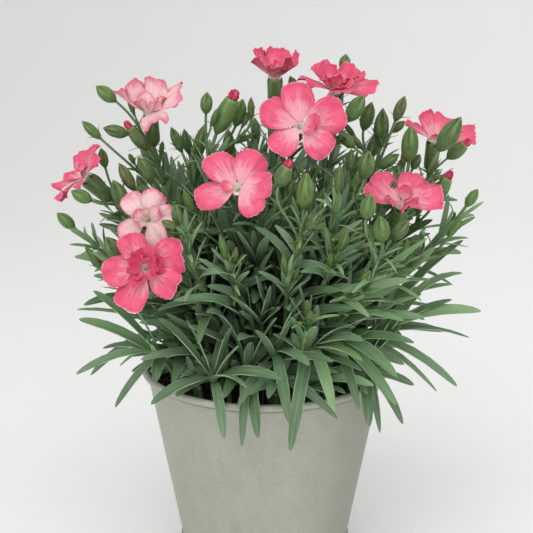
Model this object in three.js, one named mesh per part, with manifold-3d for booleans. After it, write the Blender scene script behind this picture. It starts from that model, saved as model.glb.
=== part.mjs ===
// A potted dianthus: a zinc pot filled with compost, leafy shoots and flowering stems that stand in it,
// and the blooms that sit in their calyces.
// Millimetres, +Z up, the origin at the middle of the pot's underside, the front towards -Y.
import * as THREE from "three";
import { mergeVertices } from "three/addons/utils/BufferGeometryUtils.js";
import Module from "manifold-3d";

const wasm = await Module();
wasm.setup();

// Pot
const POT_HEIGHT = 102;
const POT_TOP_RADIUS = 60.7;
const POT_BOTTOM_RADIUS = 43;
const POT_WALL = 1.2;
const BEAD_RADIUS = 1.8;
const FOOT_RADIUS = 43.8;
const FOOT_HEIGHT = 9.5;
const POT_SIDES = 36;

// Compost
const SOIL_TOP = 92;
const SOIL_GAP = 0.3;
const SOIL_SIDES = 36;
const HOLE_DEPTH = 6;
const HOLE_GAP = 0.45;

// Stems, leaves, buds and calyces
const STEM_BASE_RADIUS = 1.5;
const STEM_TIP_RADIUS = 0.9;
const BRANCH_RADIUS = 0.75;
const STEM_SIDES = 4;
const BRANCH_SIDES = 3;
const STEM_SPACING = 8.5;
const STEM_CROWN_SHARE = 0.42;
const SHOOT_CROWN_SHARE = 0.8;
const STEM_CLEARANCE = 4.5;
const FOOT_ROUNDS = 60;
const PATH_SAMPLES = 16;
const CROWN_RADIUS = 47;
const LEAF_THICKNESS = 0.9;
const LEAF_GAP = 0.55;
const LONG_LEAF = 44;
const RIM_GAP = 1.8;
const ROOT_DEPTH = 0.7;
const CALYX_LENGTH = 16;
const CALYX_RADIUS = 3.9;
const CALYX_SIDES = 6;
const BUD_SIDES = 5;
const SOCKET_DEPTH = 5;
const SOCKET_RADIUS = 2.5;
const SEAT_GAP = 0.3;
const PETAL_THICKNESS = 0.6;
const PETAL_RISE = 1.5;
const CONTORTED_TILT = 0.2;
const TOOTH_DEPTH = 0.07;
const LEAF_SEAM = 0.065;
const PETAL_SEAM = 0.04;

// Viewpoint that the places of blooms, buds and leaf tips are read from, in a picture of 533 x 533 pixels
const EYE_DISTANCE = 900;
const EYE_PITCH = THREE.MathUtils.degToRad(16.5);
const EYE_AIM_HEIGHT = 153;
const FOCAL_PIXELS = 1786;
const AXIS_PIXEL = [264.8, 266.5];

const Z = new THREE.Vector3(0, 0, 1);
const vec = (x, y, z) => new THREE.Vector3(x, y, z);
const radians = THREE.MathUtils.degToRad;
const mix = THREE.MathUtils.lerp;

// The point at depth y that is seen at pixel (u, v).
function place(u, v, y) {
  const eye = vec(
    0,
    -EYE_DISTANCE * Math.cos(EYE_PITCH),
    EYE_AIM_HEIGHT + EYE_DISTANCE * Math.sin(EYE_PITCH),
  );
  const up = AXIS_PIXEL[1] - v;
  const ray = vec(
    u - AXIS_PIXEL[0],
    FOCAL_PIXELS * Math.cos(EYE_PITCH) + up * Math.sin(EYE_PITCH),
    -FOCAL_PIXELS * Math.sin(EYE_PITCH) + up * Math.cos(EYE_PITCH),
  );
  return eye.addScaledVector(ray, (y - eye.y) / ray.y);
}

// A unit vector from an azimuth, 0 towards the front and positive to the right, and an elevation, in degrees.
function facing(azimuth, elevation) {
  const a = radians(azimuth);
  const e = radians(elevation);
  return vec(
    Math.sin(a) * Math.cos(e),
    -Math.cos(a) * Math.cos(e),
    Math.sin(e),
  );
}

// Seeded draws between low and high.
function dice(seed) {
  let state = (seed * 7919 + 17) >>> 0;
  return (low, high) => {
    state = (Math.imul(state, 1664525) + 1013904223) >>> 0;
    return low + ((high - low) * state) / 4294967296;
  };
}

// Two unit vectors square to each other and to the direction.
function crossAxes(direction) {
  const guide = Math.abs(direction.x) < 0.8 ? vec(1, 0, 0) : vec(0, 1, 0);
  const first = guide.cross(direction).normalize();
  return [first, direction.clone().cross(first)];
}

// Flowers: the throat's pixel and depth, the way the face looks, the length of its petals, and whether they
// are pale. A petal is its turn round the axis, 0 towards the foot of the picture, its share of that length
// and its rise in degrees.
const BLOOMS = [
  { name: "bloom_1", at: [150, 115, 6], face: [-20, 76], petal: 18, pale: true,
    petals: [[275, 1.12, 42], [222, 0.95, 47], [150, 0.96, 49], [95, 1.12, 40], [15, 0.96, 8]],
    inner: [[320, 0.6, 62], [200, 0.55, 70]] },
  { name: "bloom_2", at: [86, 179, -8], face: [-80, 42], petal: 17, pale: false,
    petals: [[20, 1, 20], [92, 1, 22], [164, 1.05, 24], [236, 1.05, 24], [308, 1, 20]],
    inner: [[240, 0.5, 58]] },
  { name: "bloom_3", at: [148, 220, -38], face: [-14, 24], petal: 14, pale: true,
    petals: [[220, 1.05, 14], [160, 1, 12], [95, 1, 14], [30, 1.05, 10], [300, 1.05, 12]],
    inner: [[255, 0.5, 55]] },
  { name: "bloom_4", at: [146, 268, -54], face: [-12, 24], petal: 19, pale: false,
    petals: [[208, 0.9, 16], [277, 1.03, 10], [335, 1.12, 8], [55, 1, 12], [108, 1.1, 20]],
    inner: [[200, 0.5, 50], [80, 0.5, 52], [320, 0.45, 56]] },
  { name: "bloom_5", at: [238, 189, -46], face: [-6, 36], petal: 18, pale: false,
    petals: [[218, 1.1, 10], [150, 1.05, 12], [288, 1.12, 6], [88, 0.92, 22], [38, 0.9, 8]],
    inner: [[270, 0.42, 34]] },
  { name: "bloom_6", at: [300, 127, -30], face: [6, 27], petal: 20, pale: false,
    petals: [[245, 1, 8], [185, 1.02, 10], [110, 1.1, 8], [45, 0.93, 12], [316, 0.88, 8]],
    inner: [[100, 0.5, 46], [60, 0.42, 60]] },
  { name: "bloom_7", at: [275, 79, 24], face: [0, 84], petal: 15.5, pale: false,
    petals: [[20, 1, 44], [92, 1.02, 46], [164, 1, 50], [236, 1.02, 48], [308, 1, 44]],
    inner: [[60, 0.6, 62], [250, 0.62, 66]] },
  { name: "bloom_8", at: [336, 94, 4], face: [8, 80], petal: 18.5, pale: false,
    petals: [[270, 1.05, 26], [205, 1, 34], [140, 1, 32], [85, 1.1, 16], [10, 0.9, 26]],
    inner: [[230, 0.85, 62], [120, 0.8, 58], [340, 0.7, 64], [60, 0.7, 50]] },
  { name: "bloom_9", at: [434, 142, 16], face: [14, 72], petal: 14.5, pale: false,
    petals: [[262, 1.15, 34], [205, 1, 44], [150, 1, 40], [92, 1.4, 18], [10, 0.6, 62]],
    inner: [] },
  { name: "bloom_10", at: [401, 206, -24], face: [6, 58], petal: 19, pale: false,
    petals: [[256, 1, 22], [215, 1.04, 16], [150, 1, 12], [102, 1.05, 14], [22, 0.5, 44]],
    inner: [[300, 0.55, 48], [60, 0.5, 44]] },
];

// Flowering stems, each ending in a bloom or a bud. A bud is [base u, base v, tip u, tip v, width, depth],
// its pixels and depth where it stands and its width in millimetres; "open" marks one with colour at its tip.
const STEMS = [
  { name: "stem_1", bloom: 0, buds: [
    { at: [146, 148, 127, 124, 7, 2], open: true },
    { at: [114, 100, 96, 86, 7, 12] },
    { at: [126, 134, 103, 128, 6.4, 0] },
    { at: [99, 137, 82, 121, 5, -6], low: true } ] },
  { name: "stem_2", bloom: 1, buds: [
    { at: [90, 200, 71, 191, 6.5, -28] },
    { at: [105, 166, 101, 148, 5, 4] } ] },
  { name: "stem_3", bloom: 2, buds: [] },
  { name: "stem_4", bloom: 3, buds: [] },
  { name: "stem_5", bloom: 4, buds: [] },
  { name: "stem_6", bloom: 5, buds: [] },
  { name: "stem_7", bloom: 6, buds: [
    { at: [296, 92, 290, 76, 5, 36] } ] },
  { name: "stem_8", bloom: 7, buds: [
    { at: [344, 70, 346, 54, 6, 34] },
    { at: [349, 119, 364, 95, 8, -10] } ] },
  { name: "stem_9", bloom: 8, buds: [
    { at: [441, 148, 461, 117, 9.5, -18] },
    { at: [449, 157, 468, 142, 7, -8], open: true },
    { at: [436, 200, 450, 174, 7.4, -12], open: true, low: true } ] },
  { name: "stem_10", bloom: 9, buds: [
    { at: [381, 167, 399, 154, 5.5, -4] } ] },
  { name: "stem_11", buds: [
    { at: [218, 130, 235, 93, 10, -4], open: true },
    { at: [206, 112, 207, 92, 6, -8] },
    { at: [236, 124, 243, 99, 7, 6] },
    { at: [251, 118, 251, 97, 3.6, 2] },
    { at: [228, 156, 229, 130, 6, 12], low: true } ] },
  { name: "stem_12", buds: [
    { at: [196, 158, 205, 124, 6.5, 8] },
    { at: [181, 150, 171, 127, 5, 2] },
    { at: [189, 152, 184, 129, 5, 12] } ] },
  { name: "stem_13", buds: [
    { at: [126, 209, 113, 180, 8, -16] },
    { at: [133, 188, 119, 163, 6, -12], low: true },
    { at: [151, 181, 138, 156, 6, -8], low: true } ] },
  { name: "stem_14", buds: [
    { at: [73, 227, 57, 213, 6, -16] },
    { at: [100, 268, 85, 246, 4.4, -22], low: true },
    { at: [118, 257, 106, 237, 8, -36], low: true } ] },
  { name: "stem_15", buds: [
    { at: [178, 224, 173, 206, 4, -56] },
    { at: [175, 227, 161, 221, 4, -60] } ] },
  { name: "stem_16", buds: [
    { at: [304, 206, 307, 173, 8.6, -50] },
    { at: [279, 185, 289, 163, 8, -56], open: true },
    { at: [309, 228, 321, 212, 6, -60] } ] },
  { name: "stem_17", buds: [
    { at: [338, 192, 340, 166, 4.4, -44] },
    { at: [365, 176, 369, 151, 8, -46] },
    { at: [330, 240, 318, 222, 4, -52], low: true } ] },
  { name: "stem_18", buds: [
    { at: [380, 144, 383, 108, 7.6, 8] },
    { at: [396, 119, 405, 96, 5.6, 2] },
    { at: [393, 131, 405, 121, 4.4, 10] },
    { at: [364, 128, 372, 102, 7, 16] },
    { at: [353, 146, 339, 132, 6, -10] } ] },
  { name: "stem_19", buds: [
    { at: [409, 159, 411, 125, 8.6, -6] },
    { at: [413, 168, 420, 154, 4.6, -2] } ] },
  { name: "stem_20", buds: [
    { at: [382, 240, 380, 216, 8.4, -62] },
    { at: [393, 238, 409, 221, 6.8, -54] },
    { at: [366, 217, 371, 194, 7.6, -64] } ] },
  { name: "stem_21", buds: [
    { at: [467, 205, 478, 189, 5.2, -12] },
    { at: [449, 236, 462, 216, 4, -20], low: true } ] },
];

// Back of the plant, which the picture doesn't show: stems set by a rule round the rear half.
const BACK_STEMS = 5;
const BACK_BLOOMS = [1, 3];

// Leafy shoots along the front: the crown's pixel and depth, then each leaf tip's pixel, depth and width.
const SHOOTS = [
  { name: "shoot_1", crown: [210, 377, -48], leaves: [
    [151, 404, -72, 5.4], [281, 379, -76, 5.6], [187, 320, -50, 5.6], [224, 438, -78, 5.2], [232, 326, -58, 4.6] ] },
  { name: "shoot_2", crown: [152, 350, -30], leaves: [
    [76, 374, -28, 4.6], [103, 348, -8, 3.6], [115, 407, -42, 4.4], [155, 382, -66, 6.2], [127, 300, -34, 4.2] ] },
  { name: "shoot_3", crown: [247, 368, -44], leaves: [
    [219, 408, -84, 5.6], [242, 447, -76, 4.8], [258, 438, -80, 6.4], [276, 318, -62, 5.4], [207, 312, -62, 5.2] ] },
  { name: "shoot_4", crown: [276, 350, -50], leaves: [
    [309, 365, -80, 5.2], [289, 423, -78, 5.6], [301, 311, -66, 4.6], [256, 330, -76, 4.4], [238, 407, -72, 5] ] },
  { name: "shoot_5", crown: [313, 344, -46], leaves: [
    [334, 411, -80, 5.8], [362, 360, -78, 5.8], [290, 443, -84, 6.2], [300, 286, -60, 4.4], [291, 317, -78, 4] ] },
  { name: "shoot_6", crown: [340, 335, -34], leaves: [
    [397, 377, -66, 6], [396, 405, -56, 6.4], [359, 410, -74, 5], [371, 288, -50, 6.4], [275, 300, -52, 5.6] ] },
  { name: "shoot_7", crown: [378, 330, -14], leaves: [
    [481, 311, -24, 6.4], [469, 337, -14, 5.6], [457, 386, -36, 5.8], [437, 391, -22, 6], [463, 240, -10, 5] ] },
  { name: "shoot_8", crown: [366, 366, -30], leaves: [
    [369, 427, -62, 6.2], [380, 433, -50, 4], [403, 424, -38, 5.4], [414, 385, -28, 4.8], [460, 267, 2, 4.6] ] },
];
const BACK_SHOOTS = 6;
const FILL_LEAVES = 4;
const FILL_TURN = 137.5;

// Leaves that the stems carry: share of the stem's height, length, width
const STEM_LEAVES = [
  { share: 0.24, length: 52, width: 5.2 },
  { share: 0.44, length: 42, width: 4.8 },
  { share: 0.64, length: 32, width: 4 },
];
const HIGH_SHARES = [0.76, 0.7, 0.82, 0.64, 0.88, 0.56];
const LOW_SHARES = [0.5, 0.44, 0.56, 0.38, 0.62, 0.68];
const LEAF_TURNS = [0, 28, -28, 56, -56, 80];
const LEAF_CUTS = [1, 0.75, 0.55];

// Spheres that stand for what already grows, each with its owner, so that a new leaf can keep clear of others.
const taken = [];
function occupy(owner, point, radius) {
  taken.push({ owner, point, radius });
}
function isClear(owner, point, radius) {
  return taken.every(
    (ball) =>
      ball.owner === owner ||
      ball.point.distanceTo(point) >= ball.radius + radius,
  );
}

// Whether a point with that clearance stays off the rim, the wall and the compost.
function missesPot(point, clearance) {
  const out = Math.hypot(point.x, point.y);
  if (point.z > POT_HEIGHT + clearance) return true;
  const outside = POT_TOP_RADIUS + 2 * BEAD_RADIUS + clearance;
  const inside = POT_TOP_RADIUS - POT_WALL - clearance - 2;
  return out > outside || (out < inside && point.z > SOIL_TOP + 2);
}

// A stem's curve: upright out of the compost, and along the given direction at its top.
function stemCurve(foot, top, direction) {
  const reach = foot.distanceTo(top);
  return new THREE.CubicBezierCurve3(
    foot,
    foot.clone().addScaledVector(Z, reach * 0.42),
    top.clone().addScaledVector(direction, -reach * 0.26),
    top,
  );
}

// A branch's curve: it leaves its stem along the stem and ends along the given direction.
function branchCurve(start, along, top, direction) {
  const reach = start.distanceTo(top);
  return new THREE.CubicBezierCurve3(
    start,
    start.clone().addScaledVector(along, reach * 0.4),
    top.clone().addScaledVector(direction, -reach * 0.35),
    top,
  );
}

// A leaf from its foot on the stem to its tip, arching through the middle point. Side is square to its length.
function leafOf(foot, middle, tip, side, width) {
  return {
    curve: new THREE.QuadraticBezierCurve3(foot, middle, tip),
    side,
    width,
  };
}

const LEAF_SAMPLES = 18;
function leafBalls(leaf) {
  return leaf.curve
    .getPoints(LEAF_SAMPLES)
    .slice(2)
    .map((point) => ({ point, radius: leaf.width * 0.42 + LEAF_GAP }));
}
function leafFits(owner, leaf) {
  return leafBalls(leaf).every(
    (ball) =>
      missesPot(ball.point, RIM_GAP) &&
      isClear(owner, ball.point, ball.radius),
  );
}
function keepLeaf(plant, leaf) {
  leafBalls(leaf).forEach((ball) => occupy(plant.name, ball.point, ball.radius));
  plant.leaves.push(leaf);
}

// Stem data with real places: the top, its direction, and each bud's foot, axis and length.
function budOf(bud) {
  const [baseU, baseV, tipU, tipV, width, depth] = bud.at;
  const foot = place(baseU, baseV, depth);
  const tip = place(tipU, tipV, depth);
  const axis = tip.clone().sub(foot);
  return {
    foot,
    axis: axis.clone().normalize(),
    length: axis.length(),
    radius: width / 2,
    open: bud.open,
    low: bud.low,
  };
}

function bloomOf(bloom) {
  return {
    ...bloom,
    throat: place(...bloom.at),
    axis: facing(...bloom.face),
    radius: CALYX_RADIUS,
  };
}

// Rear stems: a bloom or a bud with one side bud, round the half of the plant that faces away.
function backStem(index) {
  const draw = dice(300 + index);
  const angle = radians(mix(8, 172, (index + 0.5) / BACK_STEMS) + draw(-6, 6));
  const order = BACK_BLOOMS.indexOf(index);
  const out = draw(56, 64) + (order < 0 ? 0 : 12);
  const height = draw(176, 206) - (order < 0 ? 0 : 40);
  const top = vec(Math.cos(angle) * out, Math.sin(angle) * out, height);
  const lean = vec(Math.cos(angle) * 0.55, Math.sin(angle) * 0.55, 1);
  const bud = (at, length, radius) => ({
    foot: at,
    axis: lean.clone().normalize(),
    length,
    radius,
  });
  const hand = index % 2 ? -8 : 8;
  const aside = vec(-Math.sin(angle) * hand, Math.cos(angle) * hand, -15);
  const buds = [bud(top.clone().add(aside), draw(11, 15), draw(2.4, 3.2))];
  const name = "stem_" + (STEMS.length + index + 1);
  if (order < 0)
    return { name, buds: [bud(top, draw(15, 18), draw(3.4, 4.2)), ...buds] };
  const spin = draw(0, 72);
  const petal = draw(16, 18);
  const lift = draw(12, 24);
  const bloom = {
    name: "bloom_" + (BLOOMS.length + order + 1),
    throat: top,
    axis: vec(Math.cos(angle) * 0.8, Math.sin(angle) * 0.8, 0.75).normalize(),
    petal,
    petals: [0, 1, 2, 3, 4].map((k) => [spin + 72 * k, 1, lift]),
    inner: [[spin + 33, 0.52, lift + 34]],
    pale: false,
    radius: CALYX_RADIUS,
  };
  return { name, bloom, buds };
}

// Every flowering stem with its real places.
function growStems() {
  const front = STEMS.map((stem) => ({
    name: stem.name,
    bloom: stem.bloom === undefined ? null : bloomOf(BLOOMS[stem.bloom]),
    buds: stem.buds.map(budOf),
  }));
  const back = Array.from({ length: BACK_STEMS }, (_, i) => backStem(i));
  return [...front, ...back].map((stem) => {
    const head = stem.bloom || stem.buds[0];
    const top = stem.bloom
      ? stem.bloom.throat.clone().addScaledVector(stem.bloom.axis, -CALYX_LENGTH)
      : head.foot;
    return { ...stem, top, direction: head.axis, leaves: [], branches: [] };
  });
}

// Rear leafy shoots: crowns on an arc inside the rim, leaves that arch outwards and down.
function backShoot(index) {
  const draw = dice(500 + index);
  const angle = radians(mix(-2, 182, (index + 0.5) / BACK_SHOOTS));
  const crown = vec(Math.cos(angle) * 45.5, Math.sin(angle) * 45.5, draw(112, 122));
  const tips = [-62, -26, 8, 40, 70].map((turn, i) => {
    const way = angle + radians(turn + draw(-8, 8));
    const far = draw(40, 54);
    const fall = i % 2 ? draw(14, 26) : draw(-30, -8);
    return {
      tip: vec(
        crown.x + Math.cos(way) * far,
        crown.y + Math.sin(way) * far,
        crown.z + fall,
      ),
      width: draw(4.6, 6),
    };
  });
  return { name: "shoot_" + (SHOOTS.length + index + 1), top: crown, tips };
}

function growShoots() {
  const front = SHOOTS.map((shoot) => ({
    name: shoot.name,
    top: place(...shoot.crown),
    tips: shoot.leaves.map(([u, v, y, width]) => ({
      tip: place(u, v, y),
      width,
    })),
  }));
  const back = Array.from({ length: BACK_SHOOTS }, (_, i) => backShoot(i));
  return [...front, ...back].map((shoot) => ({
    ...shoot,
    direction: vec(shoot.top.x, shoot.top.y, 60).normalize(),
    buds: [],
    leaves: [],
    branches: [],
  }));
}

// Feet in the compost: each plant's foot lies part of the way from the axis to its top, and feet push apart.
function plantFeet(plants) {
  plants.forEach((plant) => {
    const share = plant.tips ? SHOOT_CROWN_SHARE : STEM_CROWN_SHARE;
    plant.foot = vec(plant.top.x * share, plant.top.y * share, SOIL_TOP - HOLE_DEPTH);
  });
  for (let round = 0; round < FOOT_ROUNDS; round++) {
    const paths = plants.map((plant) =>
      stemCurve(plant.foot, plant.top, plant.direction).getPoints(PATH_SAMPLES),
    );
    plants.forEach((one, i) => {
      for (let j = i + 1; j < plants.length; j++) {
        const [a, b] = closestPair(paths[i], paths[j]);
        const push = pushApart(a, b, STEM_CLEARANCE);
        push.add(pushApart(one.foot, plants[j].foot, STEM_SPACING));
        one.foot.add(push);
        plants[j].foot.sub(push);
      }
    });
    plants.forEach(({ foot }) => {
      const out = Math.hypot(foot.x, foot.y);
      if (out > CROWN_RADIUS) foot.multiply(vec(CROWN_RADIUS / out, CROWN_RADIUS / out, 1));
    });
  }
}

// Half of the level shift that takes two points as far apart as the given distance.
function pushApart(a, b, distance) {
  const apart = a.clone().sub(b);
  const gap = apart.length();
  if (gap >= distance) return vec(0, 0, 0);
  apart.setZ(0).normalize();
  return apart.multiplyScalar((distance - gap) / 2);
}

function closestPair(some, others) {
  let best = Infinity;
  let pair = null;
  for (const a of some)
    for (const b of others) {
      const far = a.distanceToSquared(b);
      if (far >= best) continue;
      best = far;
      pair = [a, b];
    }
  return pair;
}

// Stems as curves, with the space that they, their buds and their blooms take.
function growCurves(plants) {
  plants.forEach((plant) => {
    plant.curve = stemCurve(plant.foot, plant.top, plant.direction);
    plant.curve
      .getPoints(48)
      .slice(4)
      .forEach((point) => occupy(plant.name, point, STEM_BASE_RADIUS));
    const bodies = plant.bloom
      ? [{ foot: plant.top, axis: plant.direction, length: CALYX_LENGTH, radius: CALYX_RADIUS }, ...plant.buds]
      : plant.buds;
    bodies.forEach((body) => {
      for (let step = 0; step <= 4; step++)
        occupy(
          plant.name,
          body.foot.clone().addScaledVector(body.axis, (body.length * step) / 4),
          body.radius + 0.3,
        );
    });
    if (plant.bloom) occupyBloom(plant.bloom);
  });
}

// Branches to the side buds: each leaves its stem at the first share of the height that keeps it clear.
function growBranches(plant) {
  const side = plant.bloom ? plant.buds : plant.buds.slice(1);
  side.forEach((bud, order) => {
    const curves = (bud.low ? LOW_SHARES : HIGH_SHARES).map((choice) => {
      const share = choice + 0.017 * order;
      return branchCurve(plant.curve.getPoint(share), plant.curve.getTangent(share), bud.foot, bud.axis);
    });
    const curve = curves.find((path) => branchFits(plant.name, path)) || curves[0];
    plant.branches.push(curve);
    curve
      .getPoints(18)
      .forEach((point) => occupy(plant.name, point, BRANCH_RADIUS + 0.3));
  });
}
function branchFits(owner, path) {
  return path
    .getPoints(20)
    .every((point) => isClear(owner, point, BRANCH_RADIUS + 0.5));
}

// The petals' space, as balls along each petal.
function occupyBloom(bloom) {
  const turn = bloomTurn(bloom);
  for (const [k, petal] of bloom.petals.entries())
    for (const share of [0.3, 0.65, 0.95])
      for (const across of [-0.7, 0, 0.7]) {
        const point = petalPoint(bloom, petal, k, share, across);
        occupy(bloom.name, point.applyQuaternion(turn).add(bloom.throat), 2.8);
      }
}

// Opposite pairs of leaves up a flowering stem, each pair a quarter turn from the last.
function growStemLeaves(plant, index) {
  const draw = dice(index + 1);
  const start = draw(0, 180);
  STEM_LEAVES.forEach((kind, order) => {
    const foot = plant.curve.getPoint(kind.share);
    const along = plant.curve.getTangent(kind.share);
    const [first, second] = crossAxes(along);
    for (const half of [0, 180]) {
      const turn = start + 90 * order + half + draw(-16, 16);
      const length = kind.length * draw(0.82, 1.15);
      const spread = draw(34, 62);
      const droop = draw(0, 0.22);
      const twist = draw(-0.5, 0.5);
      const leaf = firstFit(plant.name, (step, cut) => {
        const angle = radians(turn + step);
        const out = first
          .clone()
          .multiplyScalar(Math.cos(angle))
          .addScaledVector(second, Math.sin(angle));
        const reach = length * cut;
        return leafOf(
          foot.clone().addScaledVector(out, -ROOT_DEPTH).addScaledVector(along, half ? 0.5 : 0),
          foot
            .clone()
            .addScaledVector(along, reach * 0.4)
            .addScaledVector(out, reach * 0.16),
          foot
            .clone()
            .addScaledVector(along, reach * Math.cos(radians(spread)) * 0.95)
            .addScaledVector(out, reach * Math.sin(radians(spread)) * 0.95)
            .addScaledVector(Z, -droop * reach),
          out.clone().cross(along).addScaledVector(along, twist).normalize(),
          kind.width,
        );
      });
      if (leaf) keepLeaf(plant, leaf);
    }
  });
}

// The first leaf that fits, over the turns and the shorter lengths.
function firstFit(owner, make) {
  for (const cut of LEAF_CUTS)
    for (const step of LEAF_TURNS) {
      const leaf = make(step, cut);
      if (leafFits(owner, leaf)) return leaf;
    }
  return null;
}

// A leafy shoot's leaves arch from just under its top to their tips, high enough to clear the rim.
const ARCH_RISES = [0.2, 0.3, 0.12, 0.4, 0.5];
const TIP_SHIFTS = [0, -5, 5, -10, 10];
function growShootLeaves(plant) {
  plant.tips.forEach(({ tip, width }, order) => {
    const share = 0.95 - 0.06 * order;
    const foot = plant.curve.getPoint(share);
    for (const shift of TIP_SHIFTS)
      for (const rise of ARCH_RISES) {
        const end = tip.clone().add(vec(0, shift, 0));
        const span = end.clone().sub(foot);
        const middle = foot
          .clone()
          .addScaledVector(span, 0.45)
          .addScaledVector(Z, rise * span.length());
        const side = span.clone().cross(Z).normalize();
        const root = foot.clone().addScaledVector(span, -ROOT_DEPTH / span.length());
        const leaf = leafOf(root, middle, end, side, width);
        if (!leafFits(plant.name, leaf)) continue;
        keepLeaf(plant, leaf);
        return;
      }
  });
}

// Shorter leaves all round a shoot, which fill the tuft over the compost.
function growFillLeaves(plant, index) {
  const draw = dice(700 + index);
  for (let order = 0; order < FILL_LEAVES; order++) {
    const foot = plant.curve.getPoint(0.92 - 0.06 * order);
    const turn = order * FILL_TURN + draw(0, 40);
    const rise = draw(14, 62);
    const length = draw(34, 50);
    const width = draw(4.4, 5.8);
    const leaf = firstFit(plant.name, (step, cut) => {
      const out = facing(turn + step, rise);
      const side = out.clone().cross(Z).normalize();
      const reach = length * cut;
      const tip = foot.clone().addScaledVector(out, reach);
      const middle = foot
        .clone()
        .addScaledVector(out, reach * 0.45)
        .addScaledVector(Z, reach * 0.16);
      const root = foot.clone().addScaledVector(out, -ROOT_DEPTH);
      return leafOf(root, middle, tip, side, width);
    });
    if (leaf) keepLeaf(plant, leaf);
  }
}

// A closed body through rings of points, each ring anticlockwise seen from the end; a ring may be one point.
function loft(rings) {
  const points = [];
  const faces = [];
  const starts = rings.map((ring) => points.push(...ring) - ring.length);
  const cap = (ring, at, forwards) => {
    for (let i = 1; i + 1 < ring.length; i++)
      faces.push(forwards ? [at, at + i, at + i + 1] : [at, at + i + 1, at + i]);
  };
  cap(rings[0], starts[0], false);
  for (let k = 1; k < rings.length; k++) {
    const [low, high] = [rings[k - 1], rings[k]];
    const count = Math.max(low.length, high.length);
    const lowAt = (i) => starts[k - 1] + (i % low.length);
    const highAt = (i) => starts[k] + (i % high.length);
    for (let i = 0; i < count; i++) {
      if (low.length > 1) faces.push([lowAt(i), lowAt(i + 1), highAt(i + 1)]);
      if (high.length > 1) faces.push([lowAt(i), highAt(i + 1), highAt(i)]);
    }
  }
  cap(rings.at(-1), starts.at(-1), true);
  return bodyOf(points, faces);
}

// A solid from points and triangles.
function bodyOf(points, faces) {
  return new wasm.Manifold(
    new wasm.Mesh({
      numProp: 3,
      vertProperties: new Float32Array(points.flatMap((p) => [p.x, p.y, p.z])),
      triVerts: new Uint32Array(faces.flat()),
    }),
  );
}

// A solid from a three.js geometry, its shared vertices merged.
function solidOf(geometry) {
  geometry.deleteAttribute("normal");
  geometry.deleteAttribute("uv");
  const merged = mergeVertices(geometry, 1e-4);
  return new wasm.Manifold(
    new wasm.Mesh({
      numProp: 3,
      vertProperties: merged.attributes.position.array,
      triVerts: new Uint32Array(merged.index.array),
    }),
  );
}

// One closed body from overlapping pieces: the joined outside, without slivers where pieces cross.
function joined(pieces, seam) {
  const bodies = wasm.Manifold.union(pieces).decompose();
  const largest = bodies.reduce((a, b) => (b.volume() > a.volume() ? b : a));
  return largest.asOriginal().simplify(seam);
}

function ringAt(centre, first, second, radius, sides) {
  if (radius === 0) return [centre];
  return Array.from({ length: sides }, (_, i) => {
    const angle = (2 * Math.PI * i) / sides;
    return centre
      .clone()
      .addScaledVector(first, radius * Math.cos(angle))
      .addScaledVector(second, radius * Math.sin(angle));
  });
}

// A round stalk along a curve, its radius changing evenly from foot to top.
function stalk(curve, steps, sides, footRadius, topRadius) {
  let [first] = crossAxes(curve.getTangent(0));
  const rings = [];
  for (let k = 0; k <= steps; k++) {
    const along = curve.getTangent(k / steps);
    first = first.clone().addScaledVector(along, -first.dot(along)).normalize();
    const second = along.clone().cross(first);
    const radius = mix(footRadius, topRadius, k / steps);
    rings.push(ringAt(curve.getPoint(k / steps), first, second, radius, sides));
  }
  return loft(rings);
}

function stalkSteps(plant) {
  return plant.buds.length ? 6 : 3;
}

// A branch that bends back to its bud has a third step, so that its last ring faces along it.
function branchSteps(curve) {
  const last = curve.getPoint(1).sub(curve.getPoint(0.5));
  return last.dot(curve.getTangent(1)) > 0 ? 2 : 3;
}

// A turned body: [height, radius] pairs along an axis.
function turned(foot, axis, profile, sides) {
  const [first, second] = crossAxes(axis);
  return loft(
    profile.map(([height, radius]) =>
      ringAt(foot.clone().addScaledVector(axis, height), first, second, radius, sides),
    ),
  );
}

// A leaf blade: flat above, keeled below, pointed at the tip.
const LONG_BLADE = [
  [0, 0],
  [0.16, 0.85],
  [0.68, 0.95],
  [1, 0],
];
const SHORT_BLADE = [
  [0, 0],
  [0.36, 1],
  [1, 0],
];
function blade(leaf) {
  const isLong = leaf.curve.getLength() > LONG_LEAF;
  const rings = (isLong ? LONG_BLADE : SHORT_BLADE).map(([share, part]) => {
    const point = leaf.curve.getPoint(share);
    if (part === 0) return [point];
    const along = leaf.curve.getTangent(share);
    const side = leaf.side.clone().addScaledVector(along, -leaf.side.dot(along)).normalize();
    const down = along.clone().cross(side);
    const half = (leaf.width * part) / 2;
    return [
      point.clone().addScaledVector(side, half),
      point.clone().addScaledVector(down, LEAF_THICKNESS),
      point.clone().addScaledVector(side, -half),
    ];
  });
  return loft(rings);
}

// A bud's profile, closed at the tip, or cut short with a socket for the petals that show.
function budProfile(bud) {
  const { length, radius } = bud;
  const body = [[-1.6, 0], [length * 0.25, radius * 0.96], [length * 0.68, radius * 0.86]];
  if (!bud.open) return [...body, [length, 0]];
  const mouth = openMouth(bud);
  return [...body, [mouth.height, mouth.radius + 0.8], [mouth.height, mouth.radius], [mouth.height - 3, 0]];
}
function openMouth(bud) {
  return { height: bud.length * 0.84, radius: bud.radius * 0.5 };
}

// The twisted tip of petals that shows in an opening bud.
function openTip(bud) {
  const mouth = openMouth(bud);
  const socket = (mouth.radius * SEAT_GAP) / 3 + SEAT_GAP;
  return turned(
    bud.foot,
    bud.axis,
    [
      [mouth.height - 3 + 2 * SEAT_GAP, 0],
      [mouth.height, mouth.radius - socket],
      [mouth.height + 1.4, mouth.radius],
      [bud.length + 1.6, 0],
    ],
    BUD_SIDES,
  );
}

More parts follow.
